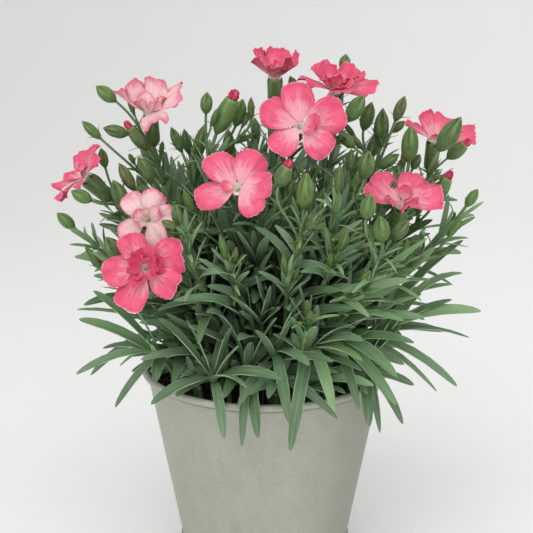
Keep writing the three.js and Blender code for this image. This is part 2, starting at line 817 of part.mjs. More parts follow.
function calyx(foot, axis) {
  return turned(
    foot,
    axis,
    [
      [-1, 0.7],
      [CALYX_LENGTH * 0.2, CALYX_RADIUS * 0.86],
      [CALYX_LENGTH, CALYX_RADIUS],
      [CALYX_LENGTH, SOCKET_RADIUS],
      [CALYX_LENGTH - SOCKET_DEPTH, 0],
    ],
    CALYX_SIDES,
  );
}

// A petal's point in the bloom's own frame: share 0 at the claw to 1 at the edge, across -1 to 1.
function petalPoint(bloom, [turn, size, rise], index, share, across) {
  const length = bloom.petal * size;
  const half = length * 0.53 * Math.sin(Math.PI * (0.04 + 0.71 * share ** 1.2));
  const lift = radians(rise);
  const run = length * share * (1 - 0.3 * across * across * share * share);
  const wave = 0.9 * size * Math.sin(4.6 * across + 2.1 * index) * share * share;
  const side = half * across;
  const out = 1.7 + run * Math.cos(lift);
  const seat = PETAL_RISE + 0.8 * Math.max(0, 1 - size);
  const height = seat + run * Math.sin(lift) + side * CONTORTED_TILT + wave;
  const angle = radians(turn);
  return vec(
    out * Math.cos(angle) - side * Math.sin(angle),
    out * Math.sin(angle) + side * Math.cos(angle),
    height,
  );
}

// A petal: a waved blade with a toothed edge, its rows of points from the claw to the edge stitched into
// triangles alike on both faces. Its claw is sunk in the bloom's core.
const PETAL_ROWS = [
  { share: 0, points: 2 },
  { share: 0.64, points: 3 },
  { share: 1, points: 5 },
];
const INNER_ROWS = [
  { share: 0, points: 2 },
  { share: 1, points: 4 },
];
function petal(bloom, shape, index, rows) {
  const upper = [];
  const starts = rows.map(({ share, points }) => {
    for (let c = 0; c < points; c++) {
      const across = (2 * c) / (points - 1) - 1;
      const tooth = points > 4 && c % 2 === 1 ? TOOTH_DEPTH : 0;
      upper.push(petalPoint(bloom, shape, index, share - tooth, across));
    }
    return upper.length - points;
  });
  const lower = upper.map((p) => p.clone().addScaledVector(Z, -PETAL_THICKNESS));
  const count = upper.length;
  const faces = [];
  for (let r = 0; r + 1 < rows.length; r++)
    stitch(starts[r], rows[r].points, starts[r + 1], rows[r + 1].points).forEach(([a, b, c]) =>
      faces.push([a, b, c], [a + count, c + count, b + count]),
    );
  const rim = rimOf(starts, rows);
  rim.forEach((a, i) => {
    const b = rim[(i + 1) % rim.length];
    faces.push([a, b, b + count], [a, b + count, a + count]);
  });
  return bodyOf([...upper, ...lower], faces);
}

// Triangles between two rows of points that run the same way, the second further out.
function stitch(near, nearCount, far, farCount) {
  const triangles = [];
  let [i, j] = [0, 0];
  while (i + 1 < nearCount || j + 1 < farCount) {
    const nearShare = (i + 0.5) / (nearCount - 1);
    const farShare = (j + 0.5) / (farCount - 1);
    if (j + 1 < farCount && (farShare <= nearShare || i + 1 === nearCount)) {
      triangles.push([near + i, far + j, far + j + 1]);
      j += 1;
    } else {
      triangles.push([near + i, far + j, near + i + 1]);
      i += 1;
    }
  }
  return triangles;
}

// The points round a sheet of rows, clockwise seen from above.
function rimOf(starts, rows) {
  const last = rows.length - 1;
  const rim = [];
  for (let c = 0; c < rows[0].points; c++) rim.push(starts[0] + c);
  for (let r = 1; r < last; r++) rim.push(starts[r] + rows[r].points - 1);
  for (let c = rows[last].points - 1; c >= 0; c--) rim.push(starts[last] + c);
  for (let r = last - 1; r > 0; r--) rim.push(starts[r]);
  return rim;
}

// The core that the claws spring from: it fills the calyx's socket with a seat gap and rises into the throat.
function bloomCore() {
  return turned(
    vec(0, 0, 0),
    Z,
    [
      [-SOCKET_DEPTH + 1, 0],
      [SEAT_GAP, SOCKET_RADIUS - 0.6],
      [2 * SEAT_GAP, SOCKET_RADIUS],
      [1.8, 2],
      [2.6, 0],
    ],
    CALYX_SIDES,
  );
}

function bloomTurn(bloom) {
  const [first, second] = crossAxes(bloom.axis);
  const basis = new THREE.Matrix4().makeBasis(first, second, bloom.axis);
  return new THREE.Quaternion().setFromRotationMatrix(basis);
}

// A whole bloom, in the part's frame.
function bloomBody(bloom) {
  const petals = [
    ...bloom.petals.map((shape, k) => petal(bloom, shape, k, PETAL_ROWS)),
    ...bloom.inner.map((shape, k) => petal(bloom, shape, k, INNER_ROWS)),
  ];
  const local = joined([bloomCore(), ...petals], PETAL_SEAM);
  const matrix = new THREE.Matrix4().compose(bloom.throat, bloomTurn(bloom), vec(1, 1, 1));
  return local.transform(matrix.elements);
}

function potBody() {
  const slope = (POT_TOP_RADIUS - POT_BOTTOM_RADIUS) / (POT_HEIGHT - FOOT_HEIGHT);
  const beadHeight = POT_HEIGHT - BEAD_RADIUS;
  const beadCentre = POT_TOP_RADIUS - POT_WALL + BEAD_RADIUS;
  const points = [
    [0, 0],
    [FOOT_RADIUS - 0.6, 0],
    [FOOT_RADIUS, 0.8],
    [FOOT_RADIUS, FOOT_HEIGHT - 0.6],
    [POT_BOTTOM_RADIUS, FOOT_HEIGHT],
    [POT_TOP_RADIUS - slope * 2 * BEAD_RADIUS, POT_HEIGHT - 2 * BEAD_RADIUS],
  ];
  for (const angle of [-60, 0, 60, 120]) {
    const turn = radians(angle);
    points.push([
      beadCentre + BEAD_RADIUS * Math.cos(turn),
      beadHeight + BEAD_RADIUS * Math.sin(turn),
    ]);
  }
  points.push([potInside(POT_HEIGHT - 2 * BEAD_RADIUS), POT_HEIGHT - 2 * BEAD_RADIUS]);
  points.push([potInside(POT_FLOOR), POT_FLOOR], [0, POT_FLOOR]);
  const profile = points.map(([x, y]) => new THREE.Vector2(x, y));
  return solidOf(new THREE.LatheGeometry(profile, POT_SIDES).rotateX(Math.PI / 2));
}

const POT_FLOOR = FOOT_HEIGHT + POT_WALL;
function potInside(height) {
  const rise = (height - FOOT_HEIGHT) / (POT_HEIGHT - FOOT_HEIGHT);
  return mix(POT_BOTTOM_RADIUS, POT_TOP_RADIUS, rise) - POT_WALL;
}

// Compost: fills the pot with a small gap to the wall, and has a plain hole for each stem.
function soilBody(plants) {
  const inner = POT_SIDES_FIT * (potInside(POT_FLOOR) - SOIL_GAP);
  const outer = POT_SIDES_FIT * (potInside(SOIL_TOP) - SOIL_GAP);
  const profile = [
    [0, POT_FLOOR + SOIL_GAP],
    [inner, POT_FLOOR + SOIL_GAP],
    [outer, SOIL_TOP],
    [0, SOIL_TOP],
  ].map(([x, y]) => new THREE.Vector2(x, y));
  const soil = solidOf(new THREE.LatheGeometry(profile, SOIL_SIDES).rotateX(Math.PI / 2));
  const holes = plants.map(holeFor);
  return soil.subtract(wasm.Manifold.union(holes));
}
// A plain upright hole, wide enough for the stalk's lean between its foot and the compost's top.
function holeFor(plant) {
  const next = plant.curve.getPoint(1 / stalkSteps(plant));
  const climb = (SOIL_TOP - plant.foot.z) / (next.z - plant.foot.z);
  const lean = next.clone().sub(plant.foot).multiplyScalar(climb / 2).setZ(0);
  const radius = STEM_BASE_RADIUS + lean.length() + HOLE_GAP * Math.SQRT2;
  const foot = plant.foot.clone().add(lean).addScaledVector(Z, -SEAT_GAP);
  return turned(foot, Z, [[0, radius], [HOLE_DEPTH + 2, radius]], STEM_SIDES);
}
const POT_SIDES_FIT = Math.cos(Math.PI / POT_SIDES);

// A stem or shoot with its branches, leaves, buds and calyx in one solid.
function plantBody(plant) {
  const pieces = [
    stalk(plant.curve, stalkSteps(plant), STEM_SIDES, STEM_BASE_RADIUS, STEM_TIP_RADIUS),
    ...plant.branches.map((curve) => stalk(curve, branchSteps(curve), BRANCH_SIDES, BRANCH_RADIUS, BRANCH_RADIUS)),
    ...plant.leaves.map(blade),
    ...plant.buds.map((bud) => turned(bud.foot, bud.axis, budProfile(bud), BUD_SIDES)),
  ];
  if (plant.bloom) pieces.push(calyx(plant.top, plant.direction));
  return joined(pieces, LEAF_SEAM);
}

const COLOURS = {
  zinc: 0x9fa493,
  compost: 0x2a1f18,
  leaf: 0x44633f,
  coral: 0xe2506e,
  pale: 0xf0a9b8,
};
function material(colour, roughness, metalness) {
  return new THREE.MeshStandardMaterial({ color: colour, roughness, metalness });
}

const group = new THREE.Group();
function addPiece(name, solid, finish) {
  const { vertProperties, triVerts } = solid.getMesh();
  const geometry = new THREE.BufferGeometry()
    .setAttribute("position", new THREE.BufferAttribute(vertProperties, 3))
    .setIndex(new THREE.BufferAttribute(triVerts, 1));
  geometry.computeVertexNormals();
  const mesh = new THREE.Mesh(geometry, finish);
  mesh.name = name;
  group.add(mesh);
}

const stems = growStems();
const shoots = growShoots();
const plants = [...stems, ...shoots];
plantFeet(plants);
growCurves(plants);
stems.forEach(growBranches);
shoots.forEach(growShootLeaves);
stems.forEach(growStemLeaves);
shoots.forEach(growFillLeaves);

addPiece("pot", potBody(), material(COLOURS.zinc, 0.5, 0.6));
addPiece("soil", soilBody(plants), material(COLOURS.compost, 0.95, 0));
plants.forEach((plant) => {
  addPiece(plant.name, plantBody(plant), material(COLOURS.leaf, 0.6, 0));
  if (plant.bloom) {
    const colour = plant.bloom.pale ? COLOURS.pale : COLOURS.coral;
    addPiece(plant.bloom.name, bloomBody(plant.bloom), material(colour, 0.6, 0));
  }
  plant.buds
    .filter((bud) => bud.open)
    .forEach((bud, i) => {
      const name = plant.name.replace("stem", "bud_tip") + (i ? "_" + (i + 1) : "");
      addPiece(name, openTip(bud), material(COLOURS.coral, 0.6, 0));
    });
});

export default group;
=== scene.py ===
"""Potted dianthus: the finished looks of its zinc pot, compost, foliage, buds and blooms."""

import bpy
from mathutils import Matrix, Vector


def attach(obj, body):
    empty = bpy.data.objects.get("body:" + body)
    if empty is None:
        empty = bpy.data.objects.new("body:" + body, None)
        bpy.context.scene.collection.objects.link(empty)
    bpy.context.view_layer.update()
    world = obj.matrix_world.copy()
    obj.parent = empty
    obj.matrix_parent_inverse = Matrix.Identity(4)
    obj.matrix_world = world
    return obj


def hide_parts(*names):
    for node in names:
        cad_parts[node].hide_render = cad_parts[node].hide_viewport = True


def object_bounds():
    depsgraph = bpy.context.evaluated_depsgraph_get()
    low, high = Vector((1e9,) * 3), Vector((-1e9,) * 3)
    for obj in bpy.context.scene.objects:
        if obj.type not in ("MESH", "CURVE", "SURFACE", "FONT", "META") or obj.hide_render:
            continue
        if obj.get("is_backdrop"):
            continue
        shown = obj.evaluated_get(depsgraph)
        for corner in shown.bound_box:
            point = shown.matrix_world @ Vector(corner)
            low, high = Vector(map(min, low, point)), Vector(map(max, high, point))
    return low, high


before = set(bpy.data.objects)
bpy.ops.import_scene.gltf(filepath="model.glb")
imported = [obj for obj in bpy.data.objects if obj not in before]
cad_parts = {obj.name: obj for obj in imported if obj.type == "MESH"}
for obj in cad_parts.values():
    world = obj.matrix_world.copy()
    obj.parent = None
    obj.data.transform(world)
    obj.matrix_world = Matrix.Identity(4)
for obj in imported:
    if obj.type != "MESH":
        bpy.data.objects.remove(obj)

import copy
import functools
import itertools
import math

import bmesh
import bpy
import numpy as np

CAD_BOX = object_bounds()

bl_info = {
    "name": "Potted dianthus",
    "version": (1, 0, 0),
    "blender": (4, 5, 0),
    "location": "View3D > Sidebar > Dianthus",
    "description": "Models a pot dianthus round its fixed frame",
    "category": "Object",
}

METRE = 0.001

# Sizes of the fixed frame, in millimetres
POT_HEIGHT = 102
POT_TOP_RADIUS = 60.7
POT_BOTTOM_RADIUS = 43
POT_WALL = 1.2
BEAD_RADIUS = 1.8
BEAD_OUT = 0.6
FOOT_RADIUS = 43.8
FOOT_HEIGHT = 9.5
SOIL_TOP = 92
FOOT_DEPTH = 86
STEM_BASE_RADIUS = 1.5
BRANCH_RADIUS = 0.75
LEAF_GAP = 0.55
RIM_GAP = 1.8
INNER_GAP = 2
ROOT_DEPTH = 0.7
CALYX_LENGTH = 16
CALYX_RADIUS = 3.9
THROAT_RADIUS = 1.7
PETAL_RISE = 1.5
INNER_PETAL_RISE = 0.8
PETAL_WAVE = 0.9
PAIR_LIFT = 0.5
BODY_GAP = 0.3
BRANCH_GAP = 0.5
PETAL_BALL = 2.8

# Shares that shape the fixed frame's growth: how far the handles of a stem's and a branch's curve reach at
# foot and top, a leaf's half width as its neighbours feel it, the step from one side bud's fork to the next,
# where a shoot's first leaf and first filling leaf leave it and the step to the next, where a leaf's arch is
# highest, how high a filling leaf's is, and how far a pair's leaf runs along the stem, out and in all
STEM_HANDLES = (0.42, 0.26)
BRANCH_HANDLES = (0.4, 0.35)
LEAF_HALF = 0.42
FORK_STEP = 0.017
FIRST_LEAF = 0.95
FIRST_FILL = 0.92
LEAF_STEP = 0.06
ARCH_MIDDLE = 0.45
FILL_ARCH = 0.16
PAIR_ALONG = 0.4
PAIR_OUT = 0.16
PAIR_CHORD = 0.95

# A petal of the frame: its half width as a share of its length, its tilt from one side to the other, its
# waves across and from one petal to the next, its width at the claw, how that grows towards the edge, how
# round the edge is, and the turn to the next petal of a ring, in degrees
PETAL_HALF_WIDTH = 0.53
CONTORTED_TILT = 0.2
WAVE_ACROSS = 4.6
WAVE_STEP = 2.1
CLAW_WIDTH = 0.04
PETAL_SWELL = 0.71
SWELL_POWER = 1.2
EDGE_ROUND = 0.3
PETAL_TURN = 72

# Sizes of the finer pieces, in millimetres
STALK_RADII = (1.4, 0.85)
BRANCH_RADII = (0.8, 0.62)
FURTHER_RADII = (1.3, 0.8)
SMALL_RADII = (0.55, 0.5)
STYLE_RADIUS = 0.28
PETAL_THICKNESS = 0.24
FULL_LEAF_WIDTH = 4.5
LEAF_THICKNESS = 0.42
LEAF_KEEL = 0.36
LEAF_CHANNEL = 0.14

# Seeds of the random draws
BACK_STEM_SEED = 300
BACK_SHOOT_SEED = 500
FILL_SEED = 700
SCREEN_SEED = 5000
STEM_PAIR_SEED = 6000
FURTHER_PAIR_SEED = 7000
FURTHER_BUD_SEED = 7500
BLOOM_SEED = 8000
STEM_SEED = 9000
SHOOT_SEED = 9100
FOLIAGE_SEED = 9500
CRUMB_SEED = 77

# Viewpoint of the photograph, whose frame is 533 x 533 pixels
PICTURE_SIDE = 533
EYE_DISTANCE = 900
EYE_PITCH = math.radians(16.5)
EYE_AIM_HEIGHT = 153
FOCAL_PIXELS = 1786
AXIS_PIXEL = (264.8, 266.5)
SENSOR = 36

UP = np.array([0.0, 0.0, 1.0])
EYE_HEIGHT = EYE_AIM_HEIGHT + EYE_DISTANCE * math.sin(EYE_PITCH)
EYE = np.array([0.0, -EYE_DISTANCE * math.cos(EYE_PITCH), EYE_HEIGHT])
LOOK = np.array([0.0, math.cos(EYE_PITCH), -math.sin(EYE_PITCH)])
LOOK_UP = np.array([0.0, math.sin(EYE_PITCH), math.cos(EYE_PITCH)])

# Blooms: throat's pixel and depth, the way the face looks, the length of the petals, each petal of the outer
# and the inner ring, the ruffle of its edge, and whether it is pale. A petal is its turn round the axis, 0
# towards the foot of the picture, its share of that length and its rise, in degrees.
BLOOM_FIELDS = ("at", "face", "length", "petals", "inner", "ruffle", "pale")
BLOOMS = [
    ((150, 115, 6), (-20, 76), 18,
     [(275, 1.12, 42), (222, 0.95, 47), (150, 0.96, 49), (95, 1.12, 40), (15, 0.96, 8)],
     [(320, 0.6, 62), (200, 0.55, 70)], 1.25, True),
    ((86, 179, -8), (-80, 42), 17,
     [(20, 1, 20), (92, 1, 22), (164, 1.05, 24), (236, 1.05, 24), (308, 1, 20)],
     [(240, 0.5, 58)], 1.2, False),
    ((148, 220, -38), (-14, 24), 14,
     [(220, 1.05, 14), (160, 1, 12), (95, 1, 14), (30, 1.05, 10), (300, 1.05, 12)],
     [(255, 0.5, 55)], 1.4, True),
    ((146, 268, -54), (-12, 24), 19,
     [(208, 0.9, 16), (277, 1.03, 10), (335, 1.12, 8), (55, 1, 12), (108, 1.1, 20)],
     [(200, 0.5, 50), (80, 0.5, 52), (320, 0.45, 56)], 1.3, False),
    ((238, 189, -46), (-6, 36), 18,
     [(218, 1.1, 10), (150, 1.05, 12), (288, 1.12, 6), (88, 0.92, 22), (38, 0.9, 8)],
     [(270, 0.42, 34)], 0.8, False),
    ((300, 127, -30), (6, 27), 20,
     [(245, 1, 8), (185, 1.02, 10), (110, 1.1, 8), (45, 0.93, 12), (316, 0.88, 8)],
     [(100, 0.5, 46), (60, 0.42, 60)], 0.9, False),
    ((275, 79, 24), (0, 84), 15.5,
     [(20, 1, 44), (92, 1.02, 46), (164, 1, 50), (236, 1.02, 48), (308, 1, 44)],
     [(60, 0.6, 62), (250, 0.62, 66)], 1.7, False),
    ((336, 94, 4), (8, 80), 18.5,
     [(270, 1.05, 26), (205, 1, 34), (140, 1, 32), (85, 1.1, 16), (10, 0.9, 26)],
     [(230, 0.85, 62), (120, 0.8, 58), (340, 0.7, 64), (60, 0.7, 50)], 1.5, False),
    ((434, 142, 16), (14, 72), 14.5,
     [(262, 1.15, 34), (205, 1, 44), (150, 1, 40), (92, 1.4, 18), (10, 0.6, 62)],
     [], 1.0, False),
    ((401, 206, -24), (6, 58), 19,
     [(256, 1, 22), (215, 1.04, 16), (150, 1, 12), (102, 1.05, 14), (22, 0.5, 44)],
     [(300, 0.55, 48), (60, 0.5, 44)], 1.2, False),
]

# Flowering stems: number of the bloom on top, or None, and the buds. A bud is its foot's pixel, its tip's
# pixel, its width in millimetres and its depth, and says whether it opens and whether its branch starts low.
STEMS = [
    (0, [(146, 148, 127, 124, 7, 2, "open"), (114, 100, 96, 86, 7, 12), (126, 134, 103, 128, 6.4, 0),
         (99, 137, 82, 121, 5, -6, "low")]),
    (1, [(90, 200, 71, 191, 6.5, -28), (105, 166, 101, 148, 5, 4)]),
    (2, []),
    (3, []),
    (4, []),
    (5, []),
    (6, [(296, 92, 290, 76, 5, 36)]),
    (7, [(344, 70, 346, 54, 6, 34), (349, 119, 364, 95, 8, -10)]),
    (8, [(441, 148, 461, 117, 9.5, -18), (449, 157, 468, 142, 7, -8, "open"),
         (436, 200, 450, 174, 7.4, -12, "open low")]),
    (9, [(381, 167, 399, 154, 5.5, -4)]),
    (None, [(218, 130, 235, 93, 10, -4, "open"), (206, 112, 207, 92, 6, -8), (236, 124, 243, 99, 7, 6),
            (251, 118, 251, 97, 3.6, 2), (228, 156, 229, 130, 6, 12, "low")]),
    (None, [(196, 158, 205, 124, 6.5, 8), (181, 150, 171, 127, 5, 2), (189, 152, 184, 129, 5, 12)]),
    (None, [(126, 209, 113, 180, 8, -16), (133, 188, 119, 163, 6, -12, "low"),
            (151, 181, 138, 156, 6, -8, "low")]),
    (None, [(73, 227, 57, 213, 6, -16), (100, 268, 85, 246, 4.4, -22, "low"),
            (118, 257, 106, 237, 8, -36, "low")]),
    (None, [(178, 224, 173, 206, 4, -56), (175, 227, 161, 221, 4, -60)]),
    (None, [(304, 206, 307, 173, 8.6, -50), (279, 185, 289, 163, 8, -56, "open"),
            (309, 228, 321, 212, 6, -60)]),
    (None, [(338, 192, 340, 166, 4.4, -44), (365, 176, 369, 151, 8, -46),
            (330, 240, 318, 222, 4, -52, "low")]),
    (None, [(380, 144, 383, 108, 7.6, 8), (396, 119, 405, 96, 5.6, 2), (393, 131, 405, 121, 4.4, 10),
            (364, 128, 372, 102, 7, 16), (353, 146, 339, 132, 6, -10)]),
    (None, [(409, 159, 411, 125, 8.6, -6), (413, 168, 420, 154, 4.6, -2)]),
    (None, [(382, 240, 380, 216, 8.4, -62), (393, 238, 409, 221, 6.8, -54), (366, 217, 371, 194, 7.6, -64)]),
    (None, [(467, 205, 478, 189, 5.2, -12), (449, 236, 462, 216, 4, -20, "low")]),
]

# Stems behind, and the places of those that carry blooms: the range of their angles round the axis, their
# distance from it, their height, how much further out and lower a bloom is, and where the side bud lies
BACK_STEMS = 5
BACK_BLOOMS = (1, 3)
BACK_ANGLES = (8, 172)
BACK_OUT = (56, 64)
BACK_HEIGHT = (176, 206)
BACK_BLOOM_OUT = 12
BACK_BLOOM_DROP = 40
SIDE_BUD_ASIDE = 8
SIDE_BUD_DROP = 15

# Leafy shoots: the crown's pixel and depth, then each leaf tip's pixel, depth and width
SHOOTS = [
    ((210, 377, -48), [(151, 404, -72, 5.4), (281, 379, -76, 5.6), (187, 320, -50, 5.6),
                       (224, 438, -78, 5.2), (232, 326, -58, 4.6)]),
    ((152, 350, -30), [(76, 374, -28, 4.6), (103, 348, -8, 3.6), (115, 407, -42, 4.4),
                       (155, 382, -66, 6.2), (127, 300, -34, 4.2)]),
    ((247, 368, -44), [(219, 408, -84, 5.6), (242, 447, -76, 4.8), (258, 438, -80, 6.4),
                       (276, 318, -62, 5.4), (207, 312, -62, 5.2)]),
    ((276, 350, -50), [(309, 365, -80, 5.2), (289, 423, -78, 5.6), (301, 311, -66, 4.6),
                       (256, 330, -76, 4.4), (238, 407, -72, 5)]),
    ((313, 344, -46), [(334, 411, -80, 5.8), (362, 360, -78, 5.8), (290, 443, -84, 6.2),
                       (300, 286, -60, 4.4), (291, 317, -78, 4)]),
    ((340, 335, -34), [(397, 377, -66, 6), (396, 405, -56, 6.4), (359, 410, -74, 5),
                       (371, 288, -50, 6.4), (275, 300, -52, 5.6)]),
    ((378, 330, -14), [(481, 311, -24, 6.4), (469, 337, -14, 5.6), (457, 386, -36, 5.8),
                       (437, 391, -22, 6), (463, 240, -10, 5)]),
    ((366, 366, -30), [(369, 427, -62, 6.2), (380, 433, -50, 4), (403, 424, -38, 5.4),
                       (414, 385, -28, 4.8), (460, 267, 2, 4.6)]),
]

# Shoots behind: the range of their angles, the crown's distance from the axis, and the leaves' turns from it
BACK_SHOOTS = 6
BACK_SHOOT_ANGLES = (-2, 182)
BACK_CROWN_OUT = 45.5
BACK_LEAF_TURNS = (-62, -26, 8, 40, 70)

# Leaves that fill each shoot, which follow one another at the golden turn, in degrees
FILL_LEAVES = 4
GOLDEN_TURN = 137.5

# Height over the axis by which a shoot's top leans out
SHOOT_LEAN = 60

# Leaf pairs that a stem carries: share of its height, length, width
STEM_LEAVES = ((0.24, 52, 5.2), (0.44, 42, 4.8), (0.64, 32, 4))

# What is tried in turn: where a branch leaves its stem, a leaf's turn and length, the rise of its arch and
# where its tip lies
HIGH_SHARES = (0.76, 0.7, 0.82, 0.64, 0.88, 0.56)
LOW_SHARES = (0.5, 0.44, 0.56, 0.38, 0.62, 0.68)
LEAF_TURNS = (0, 28, -28, 56, -56, 80)
LEAF_CUTS = (1, 0.75, 0.55)
ARCH_RISES = (0.2, 0.3, 0.12, 0.4, 0.5)
TIP_SHIFTS = (0, -5, 5, -10, 10)


# Places and curves


def vec(x, y, z):
    return np.array([x, y, z], float)


def unit(vector):
    return vector / np.linalg.norm(vector, axis=-1, keepdims=True)


def mix(low, high, share):
    return low + (high - low) * share


def place(u, v, depth):
    """The point at that depth, in millimetres, that is seen at a pixel of the photograph."""
    ray = FOCAL_PIXELS * LOOK + (AXIS_PIXEL[1] - v) * LOOK_UP + vec(u - AXIS_PIXEL[0], 0, 0)
    return EYE + ray * ((depth - EYE[1]) / ray[1])


def polar(angle, out, height):
    """The vector at an angle round the upright, in radians, that far out and that high."""
    return vec(math.cos(angle) * out, math.sin(angle) * out, height)


def seen_at(points):
    """The pixels at which points are seen, and their distances along the view."""
    away = points - EYE
    far = away @ LOOK
    u = AXIS_PIXEL[0] + FOCAL_PIXELS * away[..., 0] / far
    v = AXIS_PIXEL[1] - FOCAL_PIXELS * (away @ LOOK_UP) / far
    return u, v, far


def facing(azimuth, elevation):
    """A unit vector from an azimuth, 0 towards the front and positive to the right, and an elevation."""
    a, e = math.radians(azimuth), math.radians(elevation)
    return vec(math.sin(a) * math.cos(e), -math.cos(a) * math.cos(e), math.sin(e))


def dice(seed):
    """Seeded draws between low and high, the same as the fixed frame's."""
    state = (seed * 7919 + 17) % 2**32

    def draw(low, high):
        nonlocal state
        state = (state * 1664525 + 1013904223) % 2**32
        return low + (high - low) * state / 2**32

    return draw


def cross_axes(direction):
    """Two unit vectors square to each other and to the direction."""
    guide = vec(1, 0, 0) if abs(direction[0]) < 0.8 else vec(0, 1, 0)
    first = unit(np.cross(guide, direction))
    return first, np.cross(direction, first)


def around(axis, angle):
    """A unit vector square to an axis, at an angle round it."""
    first, second = cross_axes(axis)
    return first * math.cos(angle) + second * math.sin(angle)


class Curve:
    """A Bezier curve through space, in millimetres."""

    def __init__(self, *knots):
        self.knots = np.array(knots, float)

    def at(self, share):
        t = np.asarray(share, float)[..., None, None]
        knots = self.knots
        while knots.shape[-2] > 1:
            knots = knots[..., :-1, :] * (1 - t) + knots[..., 1:, :] * t
        return knots[..., 0, :]

    def along(self, share):
        share = np.asarray(share, float)
        near = self.at(np.maximum(share - 0.0001, 0))
        return unit(self.at(np.minimum(share + 0.0001, 1)) - near)

    def points(self, count):
        return self.at(np.linspace(0, 1, count + 1))


def stem_curve(foot, top, direction):
    """Upright out of the compost, and along the given direction at the top."""
    reach = np.linalg.norm(top - foot)
    rise, bend = STEM_HANDLES
    return Curve(foot, foot + UP * reach * rise, top - direction * reach * bend, top)


def branch_curve(start, along, top, direction):
    """Leaves its stem along the stem and ends along the given direction."""
    reach = np.linalg.norm(top - start)
    rise, bend = BRANCH_HANDLES
    return Curve(start, start + along * reach * rise, top - direction * reach * bend, top)


class Leaf:
    """A leaf's middle line from its foot to its tip, the way its blade lies, and its width."""

    def __init__(self, foot, middle, tip, side, width):
        self.curve = Curve(foot, middle, tip)
        self.side = side
        self.width = width

    def balls(self):
        points = self.curve.points(18)[2:]
        return points, np.full(len(points), self.width * LEAF_HALF + LEAF_GAP)


class Crowd:
    """Balls that stand for all that grows, each with its owner, so that leaves keep clear of one another."""

    # A cell's side and the largest ball, in millimetres, and how many balls there is room for
    cell = 14
    largest = 6
    room = 160000

    def __init__(self):
        self.names = {}
        self.cells = {}
        self.count = 0
        self.owners = np.zeros(self.room, int)
        self.points = np.zeros((self.room, 3))
        self.radii = np.zeros(self.room)

    def owner(self, name):
        return self.names.setdefault(name, len(self.names))

    def add(self, name, points, radii):
        points = np.atleast_2d(points)
        new = slice(self.count, self.count + len(points))
        self.owners[new] = self.owner(name)
        self.points[new] = points
        self.radii[new] = radii
        for order, spot in enumerate((points // self.cell).astype(int).tolist()):
            self.cells.setdefault(tuple(spot), []).append(self.count + order)
        self.count = new.stop

    def near(self, low, high):
        """Numbers of the balls in the cells between two corners."""
        ranges = [range(math.floor(a / self.cell), math.floor(b / self.cell) + 1) for a, b in zip(low, high)]
        cells = (self.cells.get(spot, ()) for spot in itertools.product(*ranges))
        return np.fromiter(itertools.chain.from_iterable(cells), int)

    def is_clear(self, name, points, radii, ease=0.0):
        points = np.atleast_2d(points)
        reach = np.max(radii) + self.largest
        index = self.near((points.min(0) - reach).tolist(), (points.max(0) + reach).tolist())
        index = index[self.owners[index] != self.owner(name)]
        if not len(index):
            return True
        gaps = np.linalg.norm(self.points[index][:, None] - points[None], axis=2)
        return bool((gaps >= self.radii[index][:, None] + np.asarray(radii) - ease).all())


def misses_pot(points, clearance):
    """Whether points with that clearance stay off the rim, the wall and the compost."""
    out = np.hypot(points[:, 0], points[:, 1])
    above = points[:, 2] > POT_HEIGHT + clearance
    outside = out > POT_TOP_RADIUS + 2 * BEAD_RADIUS + clearance
    inside = out < POT_TOP_RADIUS - POT_WALL - clearance - INNER_GAP
    inside &= points[:, 2] > SOIL_TOP + INNER_GAP
    return bool((above | outside | inside).all())


# The plant's growth: the same rules as the fixed frame's, so each piece lies on its node


class Bud:
    """A closed or opening bud: foot, axis, length and radius."""

    def __init__(self, foot, axis, length, radius, is_open=False, is_low=False):
        self.foot = foot
        self.axis = axis
        self.length = length
        self.radius = radius
        self.is_open = is_open
        self.is_low = is_low

    @classmethod
    def seen(cls, base_u, base_v, tip_u, tip_v, width, depth, words=""):
        foot = place(base_u, base_v, depth)
        span = place(tip_u, tip_v, depth) - foot
        return cls(foot, unit(span), np.linalg.norm(span), width / 2, "open" in words, "low" in words)


class Bloom:
    """An open flower: throat, axis and how its petals are set."""

    def __init__(self, name, throat, axis, length, petals, inner, ruffle, pale):
        self.name = name
        self.throat = throat
        self.axis = unit(axis)
        self.length = length
        self.petals = petals
        self.inner = inner
        self.ruffle = ruffle
        self.pale = pale
        first, second = cross_axes(self.axis)
        self.turn = np.array([first, second, self.axis])

    def surface(self, petal, index, run, side, share, across):
        """Points of a petal in the bloom's own frame. Run and side are in lengths of a whole petal."""
        turn, size, rise = petal
        angle, lift = math.radians(turn), math.radians(rise)
        run, side = run * self.length * size, side * self.length * size
        wave = PETAL_WAVE * size * np.sin(WAVE_ACROSS * across + WAVE_STEP * index) * share**2
        out = THROAT_RADIUS + run * math.cos(lift)
        seat = PETAL_RISE + INNER_PETAL_RISE * max(0, 1 - size)
        height = seat + run * math.sin(lift) + side * CONTORTED_TILT + wave
        x = out * math.cos(angle) - side * math.sin(angle)
        y = out * math.sin(angle) + side * math.cos(angle)
        return np.stack([x, y, height], axis=-1)

    def petal_points(self, petal, index, share, across):
        """Points of a petal of the frame: share 0 at the claw to 1 at the edge, across -1 to 1."""
        swell = np.sin(math.pi * (CLAW_WIDTH + PETAL_SWELL * share**SWELL_POWER))
        side = PETAL_HALF_WIDTH * swell * across
        run = share * (1 - EDGE_ROUND * across**2 * share**2)
        return self.surface(petal, index, run, side, share, across)

    def placed(self, local):
        """Points of the bloom's own frame, set on the throat."""
        return local @ self.turn + self.throat


class Plant:
    """A flowering stem or a leafy shoot with what grows on it."""

    def __init__(self, name, top, direction, bloom=None, buds=(), tips=()):
        self.name = name
        self.top = top
        self.direction = direction
        self.bloom = bloom
        self.buds = list(buds)
        self.tips = tips
        self.leaves = []
        self.branches = []
        self.forks = []
        self.extras = []
        self.curve = None

    def side_buds(self):
        return self.buds if self.bloom else self.buds[1:]


